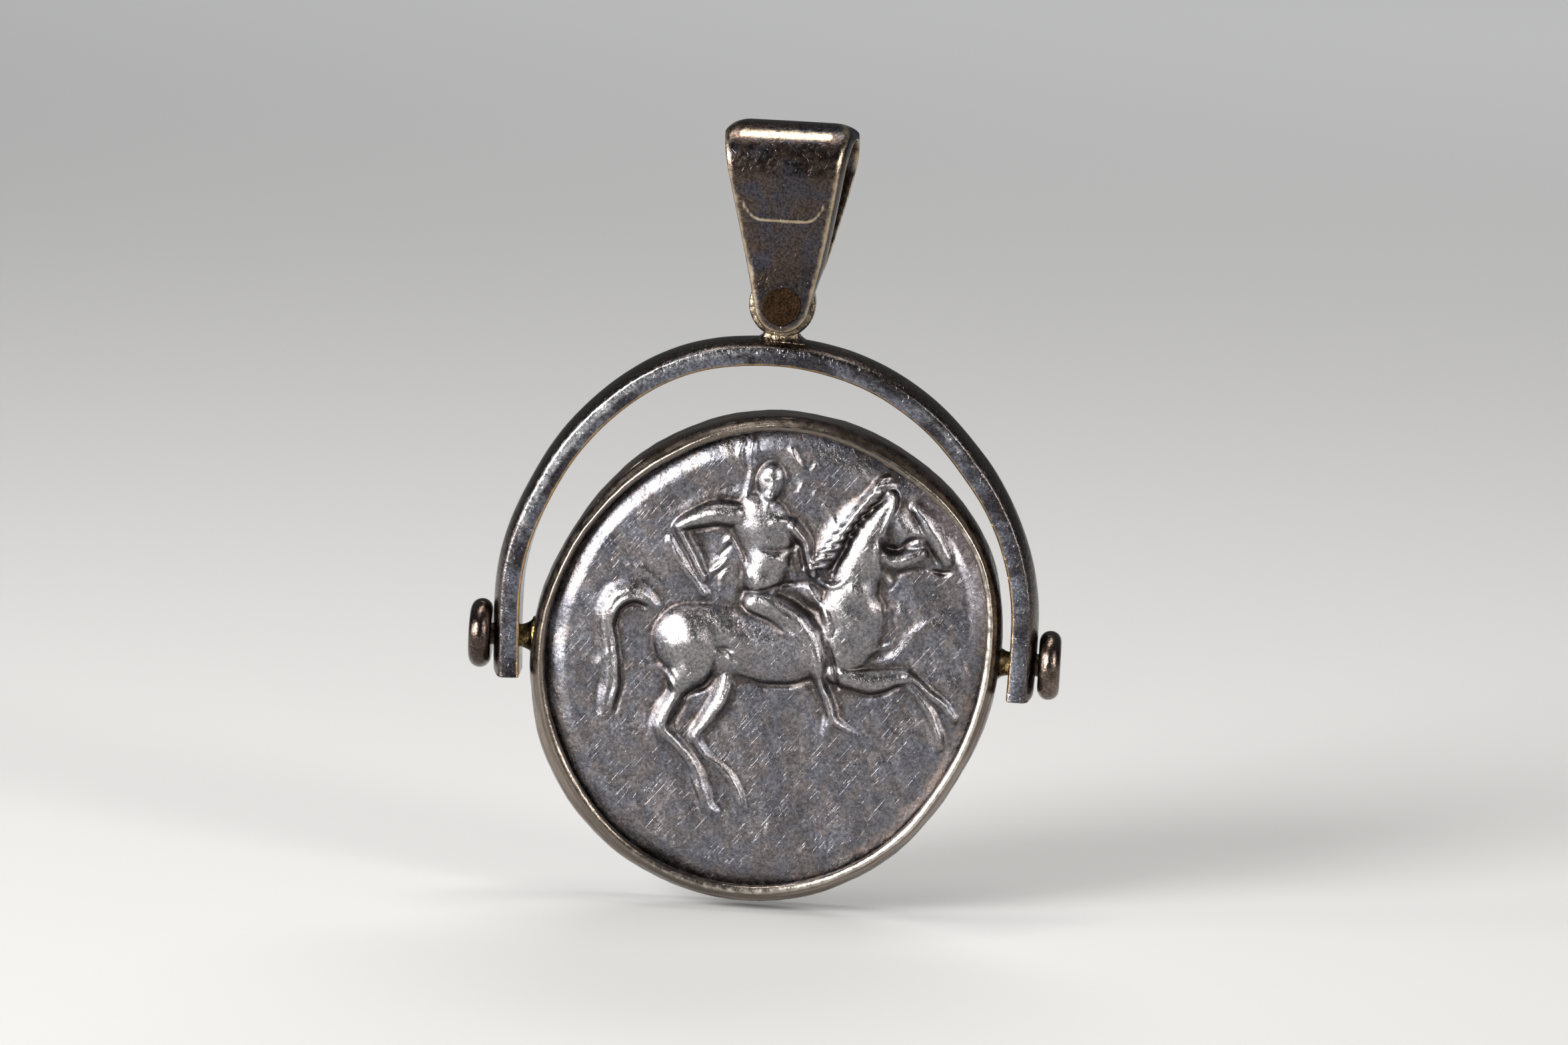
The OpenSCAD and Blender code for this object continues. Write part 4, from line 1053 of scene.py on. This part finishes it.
def band_finish(settings):
    """Silver of the band: brown-grey side with long streaks, dull rolled lips, rubbed bright in places, and
    a painted highlight on the lips towards the lower right.
    """
    f = Finish("bezel_silver")
    streaks = f.noise(1.0, 4.0, 0.6, (0.16, 3.2, 0.16))
    smudge = f.noise(2.4, 4.0, 0.65)
    grain = f.noise(8.0, 3.0, 0.6)
    side = f.mix(f.between(streaks, 0.36, 0.64), settings.shade, settings.stain)
    lip = f.mix(f.between(smudge, 0.4, 0.7), settings.tint, settings.stain)
    tone = f.mix(f.between(f.total((f.value("lip"), 1.0), (smudge, 0.6)), 0.6, 1.0), side, lip)
    # Rubbed wear where smudges are high, plus the painted highlight on the lips
    wear_and_sheen = f.total((f.value("edge"), 1.0), (smudge, 1.0))
    tone = f.mix(f.between(wear_and_sheen, 1.1, 1.55), tone, settings.rubbed)
    height = f.total((grain, 0.3), (smudge, 0.5), (streaks, 0.9))
    gloss = f.between(smudge, 0.3, 0.75, 0.20, 0.38)
    return f.done(tone, gloss, f.bump(height, 0.03))


def solder_finish(name, bright, stain, dark):
    """Solder: lumpy metal with brown stains, dark where the mesh keeps a value for it."""
    f = Finish(name)
    lumps = f.noise(3.5, 4.0, 0.65)
    stains = f.noise(1.6, 5.0, 0.7, warp=0.5)
    tone = f.mix(f.between(stains, 0.40, 0.60), bright, stain)
    tone = f.mix(f.value("dark"), tone, dark)
    rough = f.between(lumps, 0.3, 0.7, 0.12, 0.34)
    return f.done(tone, rough, f.bump(lumps, 0.09))


def rivet_finish(settings):
    """Dark toned copper: brown in blotches, rough and pitted, with dark and light specks."""
    f = Finish("dark_copper")
    blotch = f.noise(2.2, 5.0, 0.7)
    pits = f.noise(8.0, 4.0, 0.7)
    tone = f.mix(f.between(blotch, 0.42, 0.58), settings.copper, settings.copper_dark)
    tone = f.flecked(tone, pits, 0.36, 0.64, 0.45, 1.7)
    rough = f.between(pits, 0.3, 0.7, 0.28, 0.6)
    return f.done(tone, rough, f.bump(f.total((pits, 0.8), (blotch, 1.2)), 0.06))


def pale_finish(settings):
    """Matt floor."""
    f = Finish("pale_floor")
    f.shader.inputs["Metallic"].default_value = 0.0
    return f.done(settings.floor_colour, 0.9)


# What a user would change

def length(name, text, value, low=0.0, high=100.0):
    """A length given in mm and kept in metres."""
    return FloatProperty(name=name, description=text, subtype="DISTANCE", unit="LENGTH", precision=5,
                         default=value * MM, min=low * MM, max=high * MM)


def tilt(name, text, value):
    """An angle given in degrees and kept in radians."""
    return FloatProperty(name=name, description=text, subtype="ANGLE", unit="ROTATION",
                         default=math.radians(value))


def factor(name, text, value, high=2.0):
    """A plain number."""
    return FloatProperty(name=name, description=text, default=value, min=0.0, max=high)


def colour(name, text, value):
    """A metal's colour."""
    return FloatVectorProperty(name=name, description=text, subtype="COLOR", size=3, default=value,
                               min=0.0, max=1.0)


def in_mm(group):
    """The values of a group of settings, with its lengths in mm."""
    values = SimpleNamespace()
    for key in type(group).__annotations__:
        value = getattr(group, key)
        is_length = group.bl_rna.properties[key].subtype == "DISTANCE"
        setattr(values, key, value / MM if is_length else value)
    return values


class CoinSettings(bpy.types.PropertyGroup):
    """Relief and tones of the coin"""
    field: length("Half thickness", "Half of the coin's thickness in its field", COIN_HIGH[1])
    edge_fall: factor("Edge slope", "Slope of the worn bevel round the edge", 0.39)
    edge_width: length("Edge width", "Width of that bevel inside the lips", 1.0, 0.0, 3.0)
    relief: factor("Relief", "Height of the relief as a share of the tables", 1.0)
    grain_depth: length("Grain depth", "Depth of the fine grain", 0.075, 0.0, 0.3)
    cool: colour("Cool tone", "Blue-grey silver", (0.157, 0.158, 0.179))
    warm: colour("Warm tone", "Warm silver", (0.190, 0.173, 0.175))
    violet: colour("Violet tone", "Toned patches", (0.104, 0.096, 0.113))
    # Lightening of the raised figure: partly rubbed silver, partly painted highlight
    rubbed: colour("Rubbed", "Silver rubbed bright on the figure", (0.27, 0.255, 0.26))
    # Colour of the painted highlight on the upper right bevel
    bright: colour("Bright edge", "Silver rubbed bright at the upper right edge", (0.66, 0.62, 0.67))
    brown: colour("Hollow tone", "Brown left in the hollows", (0.045, 0.035, 0.030))


class BezelSettings(bpy.types.PropertyGroup):
    """Band, pins and heads"""
    half_depth: length("Half depth", "Half of the band's depth", BAND_HIGH[1] - 0.01)
    dent: length("Hammering", "Unevenness of the hammered side", 0.03, 0.0, 0.1)
    pin_radius: length("Pin radius", "Radius of each pin", 0.55)
    flare_radius: length("Flare radius", "Radius of the solder at the band", 0.95)
    tint: colour("Lip", "Dull silver of the lips", (0.19, 0.163, 0.138))
    shade: colour("Side", "Toned silver of the side", (0.30, 0.255, 0.22))
    stain: colour("Stain", "Brown streaks and smudges", (0.13, 0.105, 0.086))
    # Colour of the rubbed lips, which also carries their painted highlight
    rubbed: colour("Rubbed", "Silver where it is rubbed bright", (0.56, 0.51, 0.45))
    head_tone: colour("Heads", "Dark bronze tone of the heads", (0.15, 0.115, 0.095))
    head_shade: colour("Head shade", "Its darker clouds", (0.070, 0.052, 0.044))
    solder: colour("Solder", "Gold-toned solder", (0.58, 0.42, 0.17))
    solder_stain: colour("Solder stain", "Brown stains on the solder", (0.16, 0.10, 0.045))


class StirrupSettings(bpy.types.PropertyGroup):
    """Half-round strip, lug and solder foot"""
    outer_radius: length("Outer radius", "Outer radius of the round part", 12.95)
    crown: length("Crown", "How far the front and back faces swell", 0.09, 0.0, 0.2)
    thickness: length("Thickness", "Thickness in the middle of the domed outer face", 1.30)
    dome: length("Dome", "Height of that dome", 0.40, 0.05, 1.0)
    edge_radius: length("Edge radius", "Radius of the inner edges", 0.12)
    outer_edge_radius: length("Outer edge radius", "Radius of the outer edges", 0.20)
    rise: length("Rise", "Height of the round part's centre above the pins", 2.1)
    lean: tilt("Lean", "Inward lean of each arm", 1.0)
    tail: length("Tail", "How far the arms reach below the pins", 1.8)
    tail_skew: length("Tail skew", "How much longer the left and shorter the right arm is", 0.10, 0.0, 0.2)
    chamfer: length("Chamfer", "Trimmed outer corner of each arm's end", 0.3)
    dent: length("Unevenness", "Unevenness of the strip", 0.015, 0.0, 0.1)
    lug_half: length("Half lug", "Half of the lug's thickness", 0.8)
    foot_waist: length("Foot waist", "Half width of the solder foot at its waist", 0.84)
    foot_spread: length("Foot spread", "Half width of the solder foot on the strip", 1.5)
    tint: colour("Tone", "Silver of the strip", (0.165, 0.170, 0.200))
    shade: colour("Shade", "Darker clouds in it", (0.048, 0.046, 0.054))
    stain: colour("Stain", "Brown smudges", (0.060, 0.048, 0.040))
    # Brown of the outer face: a painted reflection
    outer: colour("Outer face", "Brown-grey of the outer face", (0.115, 0.093, 0.080))
    # Colour of the painted highlight streaks
    polish: colour("Polished", "Polished stretches of the front face", (0.50, 0.50, 0.52))
    # Gold of the inner edge lines: rubbed wear and a painted reflection
    rubbed: colour("Rubbed", "Edges rubbed bright", (0.44, 0.30, 0.15))
    solder: colour("Solder", "Solder of the foot", (0.30, 0.235, 0.16))


class BailSettings(bpy.types.PropertyGroup):
    """Folded bail and its rivet"""
    rivet_proud: length("Rivet height", "How far the rivet stands proud of each leg", 0.04)
    knee_rise: length("Knee height", "Height of the knee above the rivet", 2.2)
    knee_radius: length("Knee radius", "Radius of the knee", 6.0)
    side_radius: length("Side radius", "Radius of the long curve of each side", 200.0, 20.0, 1000.0)
    skew: factor("Skew", "Shift to the right for each step towards the back, at the top", 0.15)
    flank: length("Flank", "How far the right side of the front leg slants out", 0.22, 0.0, 0.5)
    belly: length("Belly", "How far the back leg swings out to the right half way up", 0.2, 0.0, 0.5)
    crease_width: length("Crease width", "Half width of the crease", 0.11, 0.02, 0.5)
    corner_radius: length("Corner radius", "Radius of the two top corners", 0.8)
    bevel: length("Bevel", "Width of the bevel along the outer edges", 0.34)
    bevel_depth: length("Bevel depth", "Depth of that bevel", 0.26)
    inner_bevel: length("Inner bevel", "Bevel along the inner edges", 0.07)
    crown: length("Crown", "Swelling of the face across its width", 0.06)
    crease: length("Crease", "Height of the soft crease that sags across the face", 0.022, 0.0, 0.1)
    crease_z: length("Crease height", "Height of its middle", -3.83, -20.0)
    crease_rise: length("Crease rise", "How far its ends rise", 1.2, 0.0, 3.0)
    dent: length("Unevenness", "Unevenness of the face", 0.012, 0.0, 0.1)
    tint: colour("Tone", "Silver of the bail", (0.070, 0.052, 0.044))
    shade: colour("Shade", "Bluish patches", (0.056, 0.053, 0.062))
    stain: colour("Stain", "Brown smudges", (0.042, 0.032, 0.027))
    # Colour of the bail's painted highlights and reflections, and of its rubbed bevels
    rubbed: colour("Rubbed", "Edges rubbed bright", (0.46, 0.37, 0.26))
    copper: colour("Rivet", "Toned copper", (0.019, 0.0105, 0.0055))
    copper_dark: colour("Rivet shade", "Darker blotches", (0.012, 0.007, 0.004))


class StageSettings(bpy.types.PropertyGroup):
    """Floor, lights and camera"""
    floor_colour: colour("Floor", "Colour of the floor", (0.41, 0.41, 0.41))
    azimuth: tilt("Azimuth", "Camera's turn to the right", 2.0)
    elevation: tilt("Elevation", "Camera's height", 8.3)
    roll: tilt("Roll", "Camera's roll", 3.0)
    distance: length("Distance", "Camera's distance", 380.0, 1.0, 2000.0)
    scale: factor("Scale", "Pixels of the photo for a millimetre", 31.4, 500.0)


# Operators

class PieceOperator:
    """What the operators share"""
    bl_options = {"REGISTER", "UNDO"}

    def settings(self, name):
        """One of the scene's groups of settings, in mm."""
        return in_mm(getattr(bpy.context.scene, "pendant_" + name))


class PENDANT_OT_coin(PieceOperator, bpy.types.Operator):
    """Builds the worn coin with its horseman"""
    bl_idname = "pendant.coin"
    bl_label = "Coin"

    def execute(self, context):
        settings = self.settings("coin")
        points, faces, values = coin_surface(settings)
        add_piece("worn_coin", points, faces, "holder", ["coin"], "coin_silver", coin_finish(settings),
                  values)
        return {"FINISHED"}


class PENDANT_OT_bezel(PieceOperator, bpy.types.Operator):
    """Builds the band that is rolled in over both faces of the coin"""
    bl_idname = "pendant.bezel"
    bl_label = "Bezel"

    def execute(self, context):
        settings = self.settings("bezel")
        points, faces, values = band_surface(settings)
        add_piece("bezel_band", points, faces, "holder", ["bezel"], "bezel_silver", band_finish(settings),
                  values)
        return {"FINISHED"}


class PENDANT_OT_pins(PieceOperator, bpy.types.Operator):
    """Builds both pins with their solder flares"""
    bl_idname = "pendant.pins"
    bl_label = "Pins"

    def execute(self, context):
        settings = self.settings("bezel")
        finish = solder_finish("gold_solder", settings.solder, settings.solder_stain, settings.head_shade)
        for name, side in (("pin_left", -1), ("pin_right", 1)):
            points, faces = loft(pin_surface(side, settings))
            dark = clamp((np.abs(points[:, 0]) - DARK_PIN) / DARK_WIDTH)
            add_piece(name, points, faces, "holder", ["bezel"], "bezel_silver", finish, {"dark": dark})
        return {"FINISHED"}


class PENDANT_OT_heads(PieceOperator, bpy.types.Operator):
    """Builds the rounded heads on the pins' ends"""
    bl_idname = "pendant.heads"
    bl_label = "Rivet heads"

    def execute(self, context):
        settings = self.settings("bezel")
        tones = settings.head_tone, settings.head_shade, settings.head_shade, settings.rubbed
        finish = silver_finish("head_silver", tones, 0.16, 30.0, 0.02)
        for name, side in (("rivet_head_left", -1), ("rivet_head_right", 1)):
            add_piece("polished_" + name, *loft(head_surface(side)), "holder", [name], "head_silver",
                      finish)
        return {"FINISHED"}


class PENDANT_OT_stirrup(PieceOperator, bpy.types.Operator):
    """Builds the half-round strip, the lug and the solder between them"""
    bl_idname = "pendant.stirrup"
    bl_label = "Stirrup"

    def execute(self, context):
        settings = self.settings("stirrup")
        tones = settings.tint, settings.shade, settings.stain, settings.rubbed
        finish = silver_finish("stirrup_silver", tones, 0.16, 12.0, outer=settings.outer,
                               polish=settings.polish)
        solder = solder_finish("foot_solder", settings.solder, settings.stain, settings.stain)
        strip = strip_surface(settings)
        section = strip_section(settings)
        shares = {"edge": section[:, 2], "outer": section[:, 3],
                  "polish": streak_highlight_share(strip, section, settings)}
        values = {key: loft_values(strip, share) for key, share in shares.items()}
        for name, rings, metal, values in (
                ("stirrup_strip", strip, finish, values),
                ("stirrup_lug", lug_surface(settings), solder, None),
                ("lug_solder", foot_surface(settings), solder, None)):
            add_piece(name, *loft(rings), "stirrup", ["stirrup"], "stirrup_silver", metal, values)
        return {"FINISHED"}


class PENDANT_OT_bail(PieceOperator, bpy.types.Operator):
    """Builds the folded bail"""
    bl_idname = "pendant.bail"
    bl_label = "Bail"

    def execute(self, context):
        settings = self.settings("bail")
        rings = bail_surface(settings)
        tones = settings.tint, settings.shade, settings.stain, settings.rubbed
        finish = silver_finish("bail_silver", tones, 0.24, -20.0, 0.014)
        add_piece("folded_bail", *loft(rings), "bail", ["bail"], "bail_silver", finish,
                  {"edge": loft_values(rings, bail_painted_light(rings, settings))})
        return {"FINISHED"}


class PENDANT_OT_rivet(PieceOperator, bpy.types.Operator):
    """Builds the flush rivet through the bail and the lug"""
    bl_idname = "pendant.rivet"
    bl_label = "Rivet"

    def execute(self, context):
        settings = self.settings("bail")
        add_piece("flush_rivet", *loft(rivet_surface()), "bail", ["bail_rivet"], "rivet_copper",
                  rivet_finish(settings))
        return {"FINISHED"}


def add_lamp(name, way, distance, width, height, power, spread, tint):
    """Soft rectangular lamp that looks at the camera's aim from one direction (x, y, z)."""
    data = bpy.data.lights.new(name, "AREA")
    data.shape = "RECTANGLE"
    data.size, data.size_y = width * MM, height * MM
    data.energy = power
    data.spread = math.radians(spread)
    data.color = tint
    lamp = bpy.data.objects.new(name, data)
    bpy.context.scene.collection.objects.link(lamp)
    way = Vector(way).normalized()
    lamp.location = (Vector(CAMERA_AIM) + way * distance) * MM
    lamp.rotation_euler = way.to_track_quat("Z", "Y").to_euler()
    lamp.visible_camera = False
    lamp.visible_glossy = name != "behind"


class PENDANT_OT_stage(PieceOperator, bpy.types.Operator):
    """Lays the floor, sets the lamps and points the camera"""
    bl_idname = "pendant.stage"
    bl_label = "Stage"

    def execute(self, context):
        settings = self.settings("stage")
        scene = bpy.context.scene
        angle, radius = full_turn(FLOOR_STEPS), np.array(FLOOR_RINGS)[:, None]
        floor_z = BAND_LOW[2] - FLOOR_GAP
        points = rows_of(radius * np.cos(angle), radius * np.sin(angle), floor_z).reshape(-1, 3)
        faces = [grid_faces(len(FLOOR_RINGS), FLOOR_STEPS, close_columns=True),
                 fan(np.arange(FLOOR_STEPS), len(points), True)]
        points = np.vstack([points, [0, 0, floor_z]])
        mesh = bpy.data.meshes.new("floor")
        mesh.from_pydata((points * MM).tolist(), [], [face.tolist() for group in faces for face in group])
        mesh.materials.append(pale_finish(settings))
        floor = bpy.data.objects.new("floor", mesh)
        scene.collection.objects.link(floor)

        for lamp in LAMPS:
            add_lamp(*lamp)
        world = bpy.data.worlds.new("studio")
        world.use_nodes = True
        light = world.node_tree.nodes["Background"].inputs
        light[0].default_value, light[1].default_value = WORLD_COLOUR, WORLD_LIGHT
        scene.world = world

        azimuth, elevation, roll = settings.azimuth, settings.elevation, settings.roll
        back = Vector((math.sin(azimuth) * math.cos(elevation), -math.cos(azimuth) * math.cos(elevation),
                       math.sin(elevation)))
        right = Vector((math.cos(azimuth), math.sin(azimuth), 0))
        up = back.cross(right)
        turned_right = right * math.cos(roll) + up * math.sin(roll)
        turned_up = up * math.cos(roll) - right * math.sin(roll)
        data = bpy.data.cameras.new("camera")
        data.sensor_width = SENSOR
        data.lens = settings.scale * settings.distance / PHOTO_WIDTH * SENSOR
        data.clip_start, data.clip_end = 0.01, 20.0
        camera = bpy.data.objects.new("camera", data)
        scene.collection.objects.link(camera)
        place = Matrix((turned_right, turned_up, back)).transposed().to_4x4()
        place.translation = (Vector(CAMERA_AIM) + back * settings.distance) * MM
        camera.matrix_world = place
        scene.camera = camera
        scene.view_settings.view_transform = "Standard"
        return {"FINISHED"}


class PENDANT_PT_sidebar(bpy.types.Panel):
    """Lists the pendant's pieces and what can be changed"""
    bl_label = "Coin pendant"
    bl_idname = "PENDANT_PT_sidebar"
    bl_space_type = "VIEW_3D"
    bl_region_type = "UI"
    bl_category = "Pendant"

    def draw(self, context):
        for name, group in GROUPS.items():
            box = self.layout.box()
            box.label(text=group.__doc__)
            for key in group.__annotations__:
                box.prop(getattr(context.scene, "pendant_" + name), key)
        for operator in OPERATORS:
            self.layout.operator(operator.bl_idname)


GROUPS = {"coin": CoinSettings, "bezel": BezelSettings, "stirrup": StirrupSettings, "bail": BailSettings,
          "stage": StageSettings}
OPERATORS = [PENDANT_OT_coin, PENDANT_OT_bezel, PENDANT_OT_pins, PENDANT_OT_heads, PENDANT_OT_stirrup,
             PENDANT_OT_bail, PENDANT_OT_rivet, PENDANT_OT_stage]


def register():
    """Registers the settings, operators and panel."""
    for cls in [*GROUPS.values(), *OPERATORS, PENDANT_PT_sidebar]:
        bpy.utils.register_class(cls)
    for name, group in GROUPS.items():
        setattr(bpy.types.Scene, "pendant_" + name, PointerProperty(type=group))


def unregister():
    """Takes them away again."""
    for name in GROUPS:
        delattr(bpy.types.Scene, "pendant_" + name)
    for cls in [PENDANT_PT_sidebar, *OPERATORS[::-1], *list(GROUPS.values())[::-1]]:
        bpy.utils.unregister_class(cls)


def main():
    """Builds every piece and the stage."""
    register()
    bpy.ops.pendant.coin()
    bpy.ops.pendant.bezel()
    bpy.ops.pendant.pins()
    bpy.ops.pendant.heads()
    bpy.ops.pendant.stirrup()
    bpy.ops.pendant.bail()
    bpy.ops.pendant.rivet()
    bpy.ops.pendant.stage()


if __name__ == "__main__":
    main()
